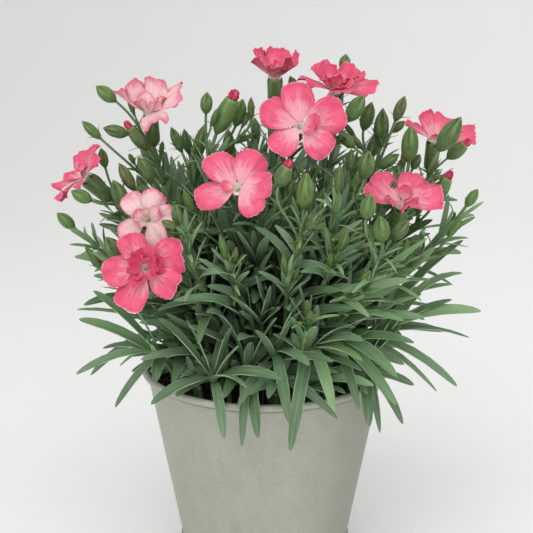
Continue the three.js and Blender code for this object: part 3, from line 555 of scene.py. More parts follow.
def front_stem(number):
    bloom_number, buds = STEMS[number]
    buds = [Bud.seen(*bud) for bud in buds]
    name = f"stem_{number + 1}"
    if bloom_number is None:
        return Plant(name, buds[0].foot, buds[0].axis, buds=buds)
    look = dict(zip(BLOOM_FIELDS, BLOOMS[bloom_number]))
    throat = place(*look.pop("at"))
    axis = facing(*look.pop("face"))
    bloom = Bloom(f"bloom_{bloom_number + 1}", throat, axis, **look)
    return Plant(name, bloom.throat - bloom.axis * CALYX_LENGTH, bloom.axis, bloom, buds)


def back_stem(index):
    """A stem behind: a bloom or a bud with one side bud, round the half that faces away."""
    draw = dice(BACK_STEM_SEED + index)
    angle = math.radians(mix(*BACK_ANGLES, (index + 0.5) / BACK_STEMS) + draw(-6, 6))
    has_bloom = index in BACK_BLOOMS
    out = draw(*BACK_OUT) + BACK_BLOOM_OUT * has_bloom
    height = draw(*BACK_HEIGHT) - BACK_BLOOM_DROP * has_bloom
    top = polar(angle, out, height)
    lean = unit(polar(angle, 0.55, 1))
    hand = -SIDE_BUD_ASIDE if index % 2 else SIDE_BUD_ASIDE
    beside = vec(-math.sin(angle) * hand, math.cos(angle) * hand, -SIDE_BUD_DROP)
    aside = Bud(top + beside, lean, draw(11, 15), draw(2.4, 3.2))
    name = f"stem_{len(STEMS) + index + 1}"
    if not has_bloom:
        return Plant(name, top, lean, buds=[Bud(top, lean, draw(15, 18), draw(3.4, 4.2)), aside])
    number = len(BLOOMS) + BACK_BLOOMS.index(index) + 1
    spin, length, lift = draw(0, PETAL_TURN), draw(16, 18), draw(12, 24)
    axis = polar(angle, 0.8, 0.75)
    petals = [(spin + PETAL_TURN * k, 1, lift) for k in range(5)]
    bloom = Bloom(f"bloom_{number}", top, axis, length, petals, [(spin + 33, 0.52, lift + 34)], 1.1, False)
    return Plant(name, top - bloom.axis * CALYX_LENGTH, bloom.axis, bloom, [aside])


def back_shoot_tips(index):
    """The crown and leaf tips of a shoot behind, on an arc inside the rim."""
    draw = dice(BACK_SHOOT_SEED + index)
    angle = math.radians(mix(*BACK_SHOOT_ANGLES, (index + 0.5) / BACK_SHOOTS))
    crown = polar(angle, BACK_CROWN_OUT, draw(112, 122))
    tips = []
    for order, turn in enumerate(BACK_LEAF_TURNS):
        way = angle + math.radians(turn + draw(-8, 8))
        far = draw(40, 54)
        fall = draw(14, 26) if order % 2 else draw(-30, -8)
        tips.append((crown + polar(way, far, fall), draw(4.6, 6)))
    return crown, tips


def shoot(name, crown, tips):
    return Plant(name, crown, unit(vec(crown[0], crown[1], SHOOT_LEAN)), tips=tips)


def foot_of(name):
    """The foot of a node's stalk: the middle of its square end at the bottom of its hole."""
    places = np.array([point.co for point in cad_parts[name].data.vertices]) / METRE
    places = np.unique(places.round(4), axis=0)
    return places[np.abs(places[:, 2] - FOOT_DEPTH) < 0.003].mean(0)


def leaf_fits(crowd, name, leaf, ease=0.0):
    points, radii = leaf.balls()
    return misses_pot(points, RIM_GAP) and crowd.is_clear(name, points, radii, ease)


def keep_leaf(crowd, plant, leaf):
    crowd.add(plant.name, *leaf.balls())
    plant.leaves.append(leaf)


def first_fit(crowd, name, make, ease=0.0, suits=None):
    """The first leaf that fits, over the turns and the shorter lengths."""
    for cut in LEAF_CUTS:
        for step in LEAF_TURNS:
            leaf = make(step, cut)
            if (suits is None or suits(leaf)) and leaf_fits(crowd, name, leaf, ease):
                return leaf
    return None


def grow_curve(crowd, plant):
    plant.curve = stem_curve(foot_of(plant.name), plant.top, plant.direction)
    crowd.add(plant.name, plant.curve.points(48)[4:], STEM_BASE_RADIUS)
    bodies = [(bud.foot, bud.axis, bud.length, bud.radius) for bud in plant.buds]
    if plant.bloom:
        bodies.insert(0, (plant.top, plant.direction, CALYX_LENGTH, CALYX_RADIUS))
    for foot, axis, length, radius in bodies:
        steps = np.linspace(0, 1, 5)[:, None]
        crowd.add(plant.name, foot + axis * length * steps, radius + BODY_GAP)
    if plant.bloom:
        share, across = np.meshgrid((0.3, 0.65, 0.95), (-0.7, 0, 0.7), indexing="ij")
        for k, petal in enumerate(plant.bloom.petals):
            local = plant.bloom.petal_points(petal, k, share.ravel(), across.ravel())
            crowd.add(plant.bloom.name, plant.bloom.placed(local), PETAL_BALL)


def grow_branches(crowd, plant):
    """Branches to the side buds, each from the first share of the stem's height that keeps it clear."""
    for order, bud in enumerate(plant.side_buds()):
        choices = []
        for share in LOW_SHARES if bud.is_low else HIGH_SHARES:
            share = share + FORK_STEP * order
            start, along = plant.curve.at(share), plant.curve.along(share)
            choices.append((share, branch_curve(start, along, bud.foot, bud.axis)))
        reach = BRANCH_RADIUS + BRANCH_GAP
        clear = [choice for choice in choices if crowd.is_clear(plant.name, choice[1].points(20), reach)]
        share, curve = (clear or choices)[0]
        plant.forks.append(share)
        plant.branches.append(curve)
        crowd.add(plant.name, curve.points(18), BRANCH_RADIUS + BODY_GAP)


def pair_leaf(foot, along, out, reach, spread, droop, width, lift=0.0):
    """One leaf of an opposite pair: it leaves the stem upwards and arches out."""
    angle = math.radians(spread)
    return Leaf(
        foot - out * ROOT_DEPTH + along * lift,
        foot + along * reach * PAIR_ALONG + out * reach * PAIR_OUT,
        foot + (along * math.cos(angle) + out * math.sin(angle)) * reach * PAIR_CHORD - UP * droop * reach,
        unit(np.cross(out, along)),
        width,
    )


def grow_stem_leaves(crowd, plant, index):
    """Opposite pairs of leaves up a flowering stem, each pair a quarter turn from the last."""
    draw = dice(index + 1)
    start = draw(0, 180)
    for order, (share, size, width) in enumerate(STEM_LEAVES):
        foot, along = plant.curve.at(share), plant.curve.along(share)
        for half in (0, 180):
            turn = start + 90 * order + half + draw(-16, 16)
            length = size * draw(0.82, 1.15)
            spread = draw(34, 62)
            droop = draw(0, 0.22)
            # The frame's leaves use one more draw, for a twist
            draw(-0.5, 0.5)

            def make(step, cut):
                out = around(along, math.radians(turn + step))
                return pair_leaf(foot, along, out, length * cut, spread, droop, width, PAIR_LIFT * (half > 0))

            leaf = first_fit(crowd, plant.name, make)
            if leaf:
                keep_leaf(crowd, plant, leaf)


def grow_shoot_leaves(crowd, plant):
    """A shoot's leaves arch from just under its top to their tips, high enough to clear the rim."""
    for order, (tip, width) in enumerate(plant.tips):
        foot = plant.curve.at(FIRST_LEAF - LEAF_STEP * order)
        for shift in TIP_SHIFTS:
            end = tip + vec(0, shift, 0)
            span = end - foot
            reach = np.linalg.norm(span)
            leaves = [
                Leaf(
                    foot - span * ROOT_DEPTH / reach,
                    foot + span * ARCH_MIDDLE + UP * rise * reach,
                    end,
                    unit(np.cross(span, UP)),
                    width,
                )
                for rise in ARCH_RISES
            ]
            leaf = next((leaf for leaf in leaves if leaf_fits(crowd, plant.name, leaf)), None)
            if leaf:
                keep_leaf(crowd, plant, leaf)
                break


def grow_fill_leaves(crowd, plant, index):
    """Shorter leaves all round a shoot, which fill the tuft over the compost."""
    draw = dice(FILL_SEED + index)
    for order in range(FILL_LEAVES):
        foot = plant.curve.at(FIRST_FILL - LEAF_STEP * order)
        turn = order * GOLDEN_TURN + draw(0, 40)
        rise = draw(14, 62)
        length = draw(34, 50)
        width = draw(4.4, 5.8)

        def make(step, cut):
            out = facing(turn + step, rise)
            reach = length * cut
            return Leaf(
                foot - out * ROOT_DEPTH,
                foot + out * reach * ARCH_MIDDLE + UP * reach * FILL_ARCH,
                foot + out * reach,
                unit(np.cross(out, UP)),
                width,
            )

        leaf = first_fit(crowd, plant.name, make)
        if leaf:
            keep_leaf(crowd, plant, leaf)


@functools.cache
def growth():
    """Stems and shoots of the fixed frame, and the crowd of what already grows."""
    crowd = Crowd()
    stems = [front_stem(number) for number in range(len(STEMS))]
    stems += [back_stem(index) for index in range(BACK_STEMS)]
    shoots = []
    for crown, tips in SHOOTS:
        seen_tips = [(place(u, v, depth), width) for u, v, depth, width in tips]
        shoots.append(shoot(f"shoot_{len(shoots) + 1}", place(*crown), seen_tips))
    for index in range(BACK_SHOOTS):
        shoots.append(shoot(f"shoot_{len(shoots) + 1}", *back_shoot_tips(index)))
    for plant in stems + shoots:
        grow_curve(crowd, plant)
    for plant in stems:
        grow_branches(crowd, plant)
    for plant in shoots:
        grow_shoot_leaves(crowd, plant)
    for index, plant in enumerate(stems):
        grow_stem_leaves(crowd, plant, index)
    for index, plant in enumerate(shoots):
        grow_fill_leaves(crowd, plant, index)
    return stems, shoots, crowd


# The rest of the foliage, which the frame leaves to the looks


# How far behind its throat a bloom's face may be hidden
BLOOM_DEPTH = 4


@functools.cache
def bloom_discs():
    """Where the blooms that the photo shows lie in the picture, how far off and how wide."""
    discs = []
    for plant in growth()[0][: len(STEMS)]:
        if plant.bloom:
            u, v, far = seen_at(plant.bloom.throat)
            discs.append((u, v, far, plant.bloom.length * FOCAL_PIXELS / far))
    return np.array(discs, float).T[:, :, None]


def hides_bloom(points):
    """Whether points stand between the viewpoint and the face of a bloom that the photo shows."""
    u, v, far = seen_at(points)
    at_u, at_v, at_far, radius = bloom_discs()
    return bool(((np.hypot(u - at_u, v - at_v) < radius) & (far < at_far + BLOOM_DEPTH)).any())


# The mound's reach to the left and right of the pot's axis, by height
SIDE_HEIGHTS = (62, 83, 99, 112, 122, 133, 146, 167, 188, 214)
LEFT_REACH = (50, 63, 68, 72, 68, 75, 87, 83, 87, 103)
RIGHT_REACH = (66, 81, 93, 99, 105, 96, 97, 102, 105, 108)


def suits_mound(leaf):
    """Whether a further leaf keeps within the mound's sides and off the blooms' faces."""
    points = leaf.curve.points(8)
    left = np.interp(points[:, 2], SIDE_HEIGHTS, LEFT_REACH)
    right = np.interp(points[:, 2], SIDE_HEIGHTS, RIGHT_REACH)
    within = (points[:, 0] > -left) & (points[:, 0] < right)
    return bool(within.all()) and not hides_bloom(points)


def leafy_pairs(crowd, plant, pairs, seed, droop=(-0.06, 0.22), ease=0.8):
    """Opposite pairs of further leaves, from a table such as MORE_PAIRS, where they fit the mound."""
    draw = dice(seed)
    start = draw(0, 180)
    leaves = []
    for order, (share, size, width, low, high) in enumerate(pairs):
        share = share + draw(-0.015, 0.015)
        foot, along = plant.curve.at(share), plant.curve.along(share)
        for half in (0, 180):
            turn = start + 90 * order + half + draw(-18, 18)
            length = size * draw(0.7, 1.2)
            spread, fall = draw(low, high), draw(*droop)

            def make(step, cut):
                out = around(along, math.radians(turn + step))
                return pair_leaf(foot, along, out, length * cut, spread, fall, width)

            leaf = first_fit(crowd, plant.name, make, ease, suits_mound)
            if leaf:
                crowd.add(plant.name, *leaf.balls())
                leaves.append(leaf)
    return leaves


# Further pairs on a flowering stem: share of its height, length, width, least and most spread in degrees
MORE_PAIRS = (
    (0.3, 50, 5, 24, 56),
    (0.37, 48, 4.8, 20, 50),
    (0.51, 44, 4.2, 20, 50),
    (0.58, 40, 3.9, 16, 46),
    (0.71, 32, 3.3, 14, 42),
    (0.78, 24, 2.8, 14, 42),
    (0.85, 16, 2.2, 16, 42),
)

# Pairs on a leafy shoot between the flowering stems, on a bud stalk, on a young bud stalk and inside the rim
SHOOT_PAIRS = (
    (0.46, 50, 5.8, 34, 66),
    (0.56, 50, 5.8, 28, 60),
    (0.65, 50, 5.4, 24, 56),
    (0.73, 46, 5, 20, 50),
    (0.8, 42, 4.6, 18, 46),
    (0.87, 36, 4.2, 14, 40),
    (0.94, 26, 3.4, 10, 30),
    (0.995, 17, 2.6, 5, 16),
)
TALL_PAIRS = (
    (0.3, 48, 5, 30, 62),
    (0.4, 48, 4.8, 26, 58),
    (0.5, 46, 4.4, 22, 52),
    (0.6, 42, 4, 18, 48),
    (0.7, 35, 3.5, 16, 44),
    (0.79, 26, 2.9, 14, 40),
    (0.87, 18, 2.3, 14, 36),
    (0.94, 12, 1.8, 12, 30),
)
YOUNG_PAIRS = (
    (0.5, 32, 3.8, 24, 56),
    (0.66, 27, 3.2, 20, 52),
    (0.8, 20, 2.6, 20, 50),
    (0.91, 13, 2, 18, 44),
)
RIM_PAIRS = (
    (0.5, 34, 5.2, 50, 84),
    (0.66, 38, 5.4, 46, 80),
    (0.82, 36, 5, 36, 72),
    (0.93, 28, 4.4, 24, 56),
    (1, 18, 3.2, 8, 30),
)

# Kinds of further shoots: seed, least and most distance from the axis, height in the middle and at the
# edge, how far the top leans out, the foot's distance as a share of the top's, and the leaf pairs.
KINDS = {
    "low": (2000, 4, 52, 174, 134, 0.6, 0.66, SHOOT_PAIRS),
    "rim": (3000, 30, 52, 108, 113, 1.1, 0.9, RIM_PAIRS),
    "tall": (4000, 6, 74, 208, 170, 0.5, 0.42, TALL_PAIRS),
    "young": (4600, 30, 62, 182, 152, 0.5, 0.7, YOUNG_PAIRS),
}
# How far the mound's upper part lies to the right, how far from the axis a further shoot's foot may be, and
# how many leafy stalks hide a rear bloom from the photograph's side
MOUND_SHIFT = 10
CROWN_RADIUS = 48
SCREEN = 10
FOLIAGE_PIECES = 10


def further_plant(name, top, direction, crown):
    """A further stalk to a top; its foot lies at a share of the top's distance from the axis."""
    foot = vec(top[0] * crown, top[1] * crown, FOOT_DEPTH + 3)
    out = math.hypot(foot[0], foot[1])
    if out > CROWN_RADIUS:
        foot[:2] *= CROWN_RADIUS / out
    plant = Plant(name, top, direction)
    plant.curve = stem_curve(foot, top, direction)
    return plant


def shoot_between(kind, index, count):
    """A further stalk between the frame's stems, on a sunflower spiral round the crown."""
    seed, near, far, middle, side, lean, crown, _ = KINDS[kind]
    draw = dice(seed + index)
    angle = math.radians(index * GOLDEN_TURN + draw(-12, 12))
    share = math.sqrt((index + 0.5) / count)
    out = mix(near, far, share) + draw(-4, 4)
    high = mix(middle, side, share**2) + draw(-12, 12) * (0.4 if kind == "rim" else 1)
    top = polar(angle, out, high)
    slant = polar(angle, lean * share, 1) + vec(draw(-0.25, 0.25), draw(-0.25, 0.25), 0)
    if kind != "rim":
        top[0] += MOUND_SHIFT
    return further_plant(f"{kind}_{index}", top, unit(slant), crown)


def shoot_before(bloom, index):
    """A leafy stalk between the viewpoint and a rear bloom, which the photo doesn't show."""
    draw = dice(SCREEN_SEED + index)
    top = bloom.throat + unit(EYE - bloom.throat) * draw(14, 54) + vec(draw(-14, 14), 0, draw(2, 18))
    return further_plant(f"screen_{index}", top, unit(vec(draw(-0.3, 0.3), draw(-0.2, 0.2), 1)), 0.45)


# Patterns: small models shaped once on the bench and then copied


class Bench:
    """One object shaped in edit mode, as by hand."""

    def __init__(self, primitive, **settings):
        bpy.ops.object.select_all(action="DESELECT")
        primitive(**settings)
        bpy.ops.object.transform_apply(location=True, rotation=True, scale=True)
        self.piece = bpy.context.object
        self.height = 0.0
        self.radius = 1.0
        bpy.context.tool_settings.mesh_select_mode = (True, False, False)
        bpy.ops.object.mode_set(mode="EDIT")

    def pick(self, test):
        bpy.ops.mesh.select_all(action="DESELECT")
        mesh = bmesh.from_edit_mesh(self.piece.data)
        for point in mesh.verts:
            point.select = bool(test(point.co))
        mesh.select_flush(True)
        bmesh.update_edit_mesh(self.piece.data)

    def pick_all(self):
        bpy.ops.mesh.select_all(action="SELECT")

    def move(self, x, y, z):
        bpy.ops.transform.translate(value=(x, y, z))

    def scale(self, x, y, z, centre=(0, 0, 0)):
        bpy.ops.transform.resize(value=(x, y, z), center_override=centre)

    def pull(self, x, y, z):
        bpy.ops.mesh.extrude_region_move(TRANSFORM_OT_translate={"value": (x, y, z)})

    def ring_to(self, height, radius, twist=0.0):
        """Pulls the picked end face to a new height and radius, and turns it."""
        self.pull(0, 0, height - self.height)
        self.scale(radius / self.radius, radius / self.radius, 1, (0, 0, height))
        if twist:
            bpy.ops.transform.rotate(value=twist, orient_axis="Z", center_override=(0, 0, height))
        self.height, self.radius = height, radius

    def done(self):
        self.pick_all()
        bpy.ops.mesh.remove_doubles(threshold=1e-6)
        bpy.ops.mesh.normals_make_consistent(inside=False)
        bpy.ops.object.mode_set(mode="OBJECT")
        return self.piece


def turned(sides, profile, twist=0.0, flute=1.0):
    """A round body on the bench, drawn up ring by ring through (height, radius) pairs."""
    height, radius = profile[0]
    circle = bpy.ops.mesh.primitive_circle_add
    bench = Bench(circle, vertices=sides, radius=radius, fill_type="NGON", location=(0, 0, height))
    bench.height, bench.radius = height, radius
    if flute != 1:
        bench.pick(lambda co: is_groove(co, sides / 2))
        bench.scale(flute, flute, 1)
    bench.pick_all()
    for height, radius in profile[1:]:
        bench.ring_to(height, radius, twist)
    return bench


def sheet(rows, columns):
    """A flat sheet on the bench, from 0 to 1 along and 1 across, in rows and columns."""
    grid = bpy.ops.mesh.primitive_grid_add
    return Bench(grid, x_subdivisions=rows, y_subdivisions=columns, size=1, location=(0.5, 0, 0))


def read(items, field, width=1):
    """A field of a mesh's points, corners or faces, as an array."""
    values = np.zeros(len(items) * width, np.float32 if width > 1 else np.int32)
    items.foreach_get(field, values)
    return values.reshape(-1, width).astype(float) if width > 1 else values


class Pattern:
    """Points, faces and growth coordinates of a small model."""

    def __init__(self, piece, is_round):
        mesh = piece.data
        self.points = read(mesh.vertices, "co", 3)
        self.corners = read(mesh.loops, "vertex_index")
        self.sizes = read(mesh.polygons, "loop_total")
        self.growth = self.round_growth() if is_round else self.flat_growth()
        bpy.data.objects.remove(piece)

    def flat_growth(self):
        """Share from foot to tip, and across from 0 to 1."""
        x, y = self.points[:, 0], self.points[:, 1]
        low, high = y.min(), y.max()
        return np.stack([x, (y - low) / (high - low)], 1)[self.corners]

    def round_growth(self):
        """Share from foot to tip, and round from 0 to 1, unbroken within each face."""
        x, y, z = self.points.T
        share = (z - z.min()) / (z.max() - z.min())
        turn = (np.arctan2(y, x) / (2 * math.pi) % 1)[self.corners]
        face = np.repeat(np.arange(len(self.sizes)), self.sizes)
        starts = np.cumsum(self.sizes) - self.sizes
        wide = np.maximum.reduceat(turn, starts) - np.minimum.reduceat(turn, starts) > 0.5
        turn = np.where(wide[face] & (turn < 0.5), turn + 1, turn)
        return np.stack([share[self.corners], turn], 1)


# Rows of a leaf and of a bract: share of the length, and of the greatest width
BLADE_ROWS = (
    (0, 0.42),
    (0.05, 0.55),
    (0.16, 0.84),
    (0.32, 0.97),
    (0.5, 1),
    (0.68, 0.96),
    (0.82, 0.82),
    (0.92, 0.58),
    (0.975, 0.32),
    (1, 0.05),
)
BRACT_ROWS = ((0, 0.9), (0.3, 1), (0.62, 0.6), (1, 0.03))


@functools.cache
def blade_pattern(columns, outline=BLADE_ROWS):
    """A leaf: long, channelled above, keeled below, closed all round. Share by width by millimetres."""
    rows = len(outline) - 1
    bench = sheet(rows, columns)
    aside = 10
    for row, (share, width) in reversed(list(enumerate(outline))):
        bench.pick(lambda co: abs(co.x - row / rows) < 0.001)
        bench.scale(1, width, 1)
        bench.move(share - row / rows + (aside if row else 0), 0, 0)
    bench.pick(lambda co: co.x > aside / 2)
    bench.move(-aside, 0, 0)
    bench.pick_all()
    bench.pull(0, 0, -LEAF_THICKNESS)
    bench.pick(lambda co: abs(co.y) < 0.001 and co.z < -0.2 and 0.02 < co.x < 0.95)
    bench.move(0, 0, -LEAF_KEEL)
    bench.pick(lambda co: abs(co.y) < 0.001 and co.z > -0.1 and 0.02 < co.x < 0.95)
    bench.move(0, 0, -LEAF_CHANNEL)
    return Pattern(bench.done(), False)


@functools.cache
def stalk_pattern(sides, rings):
    """A straight stalk of height 1 and radius 1."""
    bench = turned(sides, [(ring / rings, 1) for ring in range(rings + 1)])
    return Pattern(bench.done(), True)


@functools.cache
def bud_pattern():
    """A closed bud of length 1 and radius 1: five teeth pressed together, with a groove between each two."""
    rows = [(-0.1, 0.2), (-0.02, 0.46), (0.08, 0.74), (0.2, 0.93), (0.36, 1), (0.54, 0.98),
            (0.68, 0.87), (0.79, 0.66), (0.88, 0.42), (0.95, 0.24), (1, 0.06)]
    bench = turned(20, rows)
    bench.pick(lambda co: co.z > 0.3 and is_groove(co, 5))
    bench.scale(0.8, 0.8, 1)
    bench.pick(lambda co: co.z > 0.7 and is_groove(co, 5))
    bench.scale(0.66, 0.66, 1)
    return Pattern(bench.done(), True)


def is_groove(co, count, offset=0.0):
    """Whether a point lies at one of the even places round the axis."""
    turn = math.atan2(co.y, co.x) / (2 * math.pi) * count + offset
    return abs(turn - round(turn)) < 0.05


@functools.cache
def open_bud_pattern():
    """An opening bud: its five teeth part at the tip, round a mouth."""
    rows = [(-0.1, 0.2), (-0.02, 0.46), (0.1, 0.8), (0.26, 0.98), (0.44, 1), (0.62, 0.9),
            (0.76, 0.76), (0.84, 0.66), (0.84, 0.56), (0.66, 0.5), (0.6, 0.1)]
    bench = turned(10, rows)
    bench.pick(lambda co: co.z > 0.8 and is_groove(co, 5, 0.5))
    bench.move(0, 0, 0.15)
    bench.pick(lambda co: 0.3 < co.z < 0.86 and is_groove(co, 5))
    bench.scale(0.93, 0.93, 1)
    return Pattern(bench.done(), True)


@functools.cache
def calyx_pattern():
    """A calyx of length 1 and radius 1: a ribbed tube with five short teeth round its mouth."""
    rows = [(-0.06, 0.18), (0, 0.5), (0.05, 0.76), (0.14, 0.9), (0.3, 0.95), (0.54, 0.96),
            (0.78, 1), (0.92, 1.02), (0.97, 0.97), (0.97, 0.86), (0.8, 0.72), (0.68, 0.4)]
    bench = turned(20, rows)
    bench.pick(lambda co: co.z > 0.95 and is_groove(co, 5, 0.5))
    bench.move(0, 0, 0.075)
    bench.pick(lambda co: co.z > 0.95 and is_groove(co, 5))
    bench.move(0, 0, -0.06)
    bench.pick(lambda co: 0.05 < co.z < 0.95 and is_groove(co, 5))
    bench.scale(0.95, 0.95, 1)
    return Pattern(bench.done(), True)


@functools.cache
def tip_pattern():
    """Petals still rolled in a bud: a twisted, fluted cone."""
    rows = [(-0.5, 0.5), (0, 0.8), (0.3, 0.98), (0.56, 0.92),
            (0.76, 0.74), (0.9, 0.52), (1, 0.3), (0.84, 0.12)]
    bench = turned(16, rows, math.radians(14), 0.64)
    bench.pick(lambda co: co.z > 0.1)
    bpy.ops.transform.vertex_random(offset=0.2, seed=5)
    return Pattern(bench.done(), True)


@functools.cache
def petal_pattern(rows, columns):
    """A flat petal: share 0 at the claw to 1 at the edge, across -1 to 1, thickness in millimetres."""
    bench = sheet(rows, columns)
    bench.pick_all()
    bench.scale(1, 2, 1)
    bench.pull(0, 0, -PETAL_THICKNESS)
    return Pattern(bench.done(), False)


@functools.cache
def crumb_pattern():
    """A crumb of compost."""
    bench = Bench(bpy.ops.mesh.primitive_ico_sphere_add, subdivisions=1, radius=1)
    bpy.ops.transform.vertex_random(offset=0.22, seed=3)
    bench.pick(lambda co: co.z < -0.3)
    bench.scale(1, 1, 0.5)
    return Pattern(bench.done(), True)


# Copies laid along curves and gathered into pieces

# The mound of foliage: its radius by height, the height of its roof in the middle and how fast it falls, and
# how far inside it the painted shade begins and how much further it is full
MOUND_HEIGHTS = (96, 130, 165, 195, 220)
MOUND_RADII = (56, 66, 70, 52, 24)
ROOF_HEIGHT = 198
ROOF_FALL = 0.008
SHADE_START = 6
SHADE_REACH = 30


def depth_inside(points):
    """0 at the outside of the mound of foliage to 1 deep in it, the share of painted shade that a point gets.
    """
    out = np.hypot(points[:, 0], points[:, 1])
    edge = np.interp(points[:, 2], MOUND_HEIGHTS, MOUND_RADII)
    roof = ROOF_HEIGHT - ROOF_FALL * out**2
    inside = np.minimum(edge - out, roof - points[:, 2])
    return np.clip((inside - SHADE_START) / SHADE_REACH, 0, 1)


class Patch:
    """Copies of patterns, in millimetres, gathered into one mesh."""

    def __init__(self):
        self.count = 0
        self.points = []
        self.corners = []
        self.sizes = []
        self.growth = []
        self.finishes = []
        self.tones = []
        self.glows = []
        self.shades = []

    def add(self, pattern, points, finish=0, tone=0.5, glow=0.0):
        self.points.append(points)
        self.corners.append(pattern.corners + self.count)
        self.sizes.append(pattern.sizes)
        self.growth.append(pattern.growth)
        self.finishes.append(np.full(len(pattern.sizes), finish))
        self.tones.append(np.full(len(points), tone))
        self.glows.append(np.broadcast_to(np.asarray(glow, float), len(points)))
        self.shades.append(depth_inside(points))
        self.count += len(points)

    def piece(self, name, finishes):
        """The piece as an object at the origin, with its growth map and traits."""
        if name in bpy.data.objects:
            bpy.data.objects.remove(bpy.data.objects[name])
        corners, sizes = np.concatenate(self.corners), np.concatenate(self.sizes)
        mesh = bpy.data.meshes.new(name)
        mesh.vertices.add(self.count)
        mesh.vertices.foreach_set("co", (np.concatenate(self.points) * METRE).ravel())
        mesh.loops.add(len(corners))
        mesh.loops.foreach_set("vertex_index", corners.astype(np.int32))
        mesh.polygons.add(len(sizes))
        mesh.polygons.foreach_set("loop_start", (np.cumsum(sizes) - sizes).astype(np.int32))
        mesh.polygons.foreach_set("material_index", np.concatenate(self.finishes).astype(np.int32))
        mesh.update(calc_edges=True)
        growth_map = mesh.uv_layers.new(name="Growth")
        growth_map.data.foreach_set("uv", np.concatenate(self.growth).ravel())
        for trait, values in (("tone", self.tones), ("glow", self.glows), ("shade", self.shades)):
            layer = mesh.attributes.new(trait, "FLOAT", "POINT")
            layer.data.foreach_set("value", np.concatenate(values))
        for finish in finishes:
            mesh.materials.append(finish)
        piece = bpy.data.objects.new(name, mesh)
        bpy.context.collection.objects.link(piece)
        return piece


def hand_over(piece, slot, *nodes, angle=50):
    """Smooths a finished piece, lets it ride on the pot plant's body, and has it stand for its nodes."""
    bpy.ops.object.select_all(action="DESELECT")
    piece.select_set(True)
    bpy.context.view_layer.objects.active = piece
    bpy.ops.object.shade_smooth_by_angle(angle=math.radians(angle))
    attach(piece, "root")
    if nodes:
        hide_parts(*nodes)


def lay_leaf(pattern, leaf, twist=0.0, fold=0.0, wave=0.0, roll=0.0):
    """A blade's points along its leaf. It rolls near its foot, and its margins rise by the fold and wave."""
    share, across, height = pattern.points.T
    height = height * min(1, leaf.width / FULL_LEAF_WIDTH)
    along = leaf.curve.along(share)
    side = unit(leaf.side - along * (along @ leaf.side)[:, None])
    rise = np.cross(side, along)
    turn = (twist * share + roll * np.clip(share * 3, 0, 1))[:, None]
    side, rise = side * np.cos(turn) + rise * np.sin(turn), rise * np.cos(turn) - side * np.sin(turn)
    lift = height + leaf.width * np.abs(across) * (fold + wave * np.sin(9 * share + 5 * across))
    return leaf.curve.at(share) - side * (across * leaf.width)[:, None] + rise * lift[:, None]


def lay_stalk(pattern, curve, radius_at):
    """A stalk's points along a curve, with the radius that each share of it has."""
    shares = np.unique(pattern.points[:, 2].round(6))
    centres, alongs = curve.at(shares), curve.along(shares)
    firsts = []
    first, _ = cross_axes(alongs[0])
    for along in alongs:
        first = unit(first - along * (first @ along))
        firsts.append(first)
    ring = np.searchsorted(shares, pattern.points[:, 2].round(6))
    first = np.array(firsts)[ring]
    second = np.cross(alongs[ring], first)
    radius = radius_at(shares)[ring][:, None]
    x, y = pattern.points[:, 0][:, None], pattern.points[:, 1][:, None]
    return centres[ring] + (first * x + second * y) * radius


def lay_round(pattern, foot, axis, length, radius, spin=0.0):
    """A turned body's points, set on its foot along its axis."""
    first, second = cross_axes(axis)
    c, s = math.cos(spin), math.sin(spin)
    x, y, z = pattern.points.T[:, :, None]
    return foot + (first * (x * c - y * s) + second * (x * s + y * c)) * radius + axis * z * length


# Finishes


def tint(code):
    """A linear colour from a web colour such as 4f7350."""
    parts = [int(code[i : i + 2], 16) / 255 for i in (0, 2, 4)]
    return tuple(p / 12.92 if p <= 0.04045 else ((p + 0.055) / 1.055) ** 2.4 for p in parts)


class Value:
    """A socket in an expression, which adds its Math nodes as it is worked out."""

    def __init__(self, finish, socket):
        self.finish = finish
        self.socket = socket

    def math(self, operation, *others):
        return self.finish.value("ShaderNodeMath", {"operation": operation}, dict(enumerate((self, *others))))

    def __add__(self, other):
        return self.math("ADD", other)

    __radd__ = __add__

    def __mul__(self, other):
        return self.math("MULTIPLY", other)

    __rmul__ = __mul__

    def __sub__(self, other):
        return self.math("SUBTRACT", other)

    def __rsub__(self, other):
        return (self * -1) + other

    def __abs__(self):
        return self.math("ABSOLUTE")

    def ramp(self, low, high):
        """A smooth step from 0 at low to 1 at high."""
        settings = {"interpolation_type": "SMOOTHSTEP"}
        inputs = {"Value": self, "From Min": low, "From Max": high}
        return self.finish.value("ShaderNodeMapRange", settings, inputs)


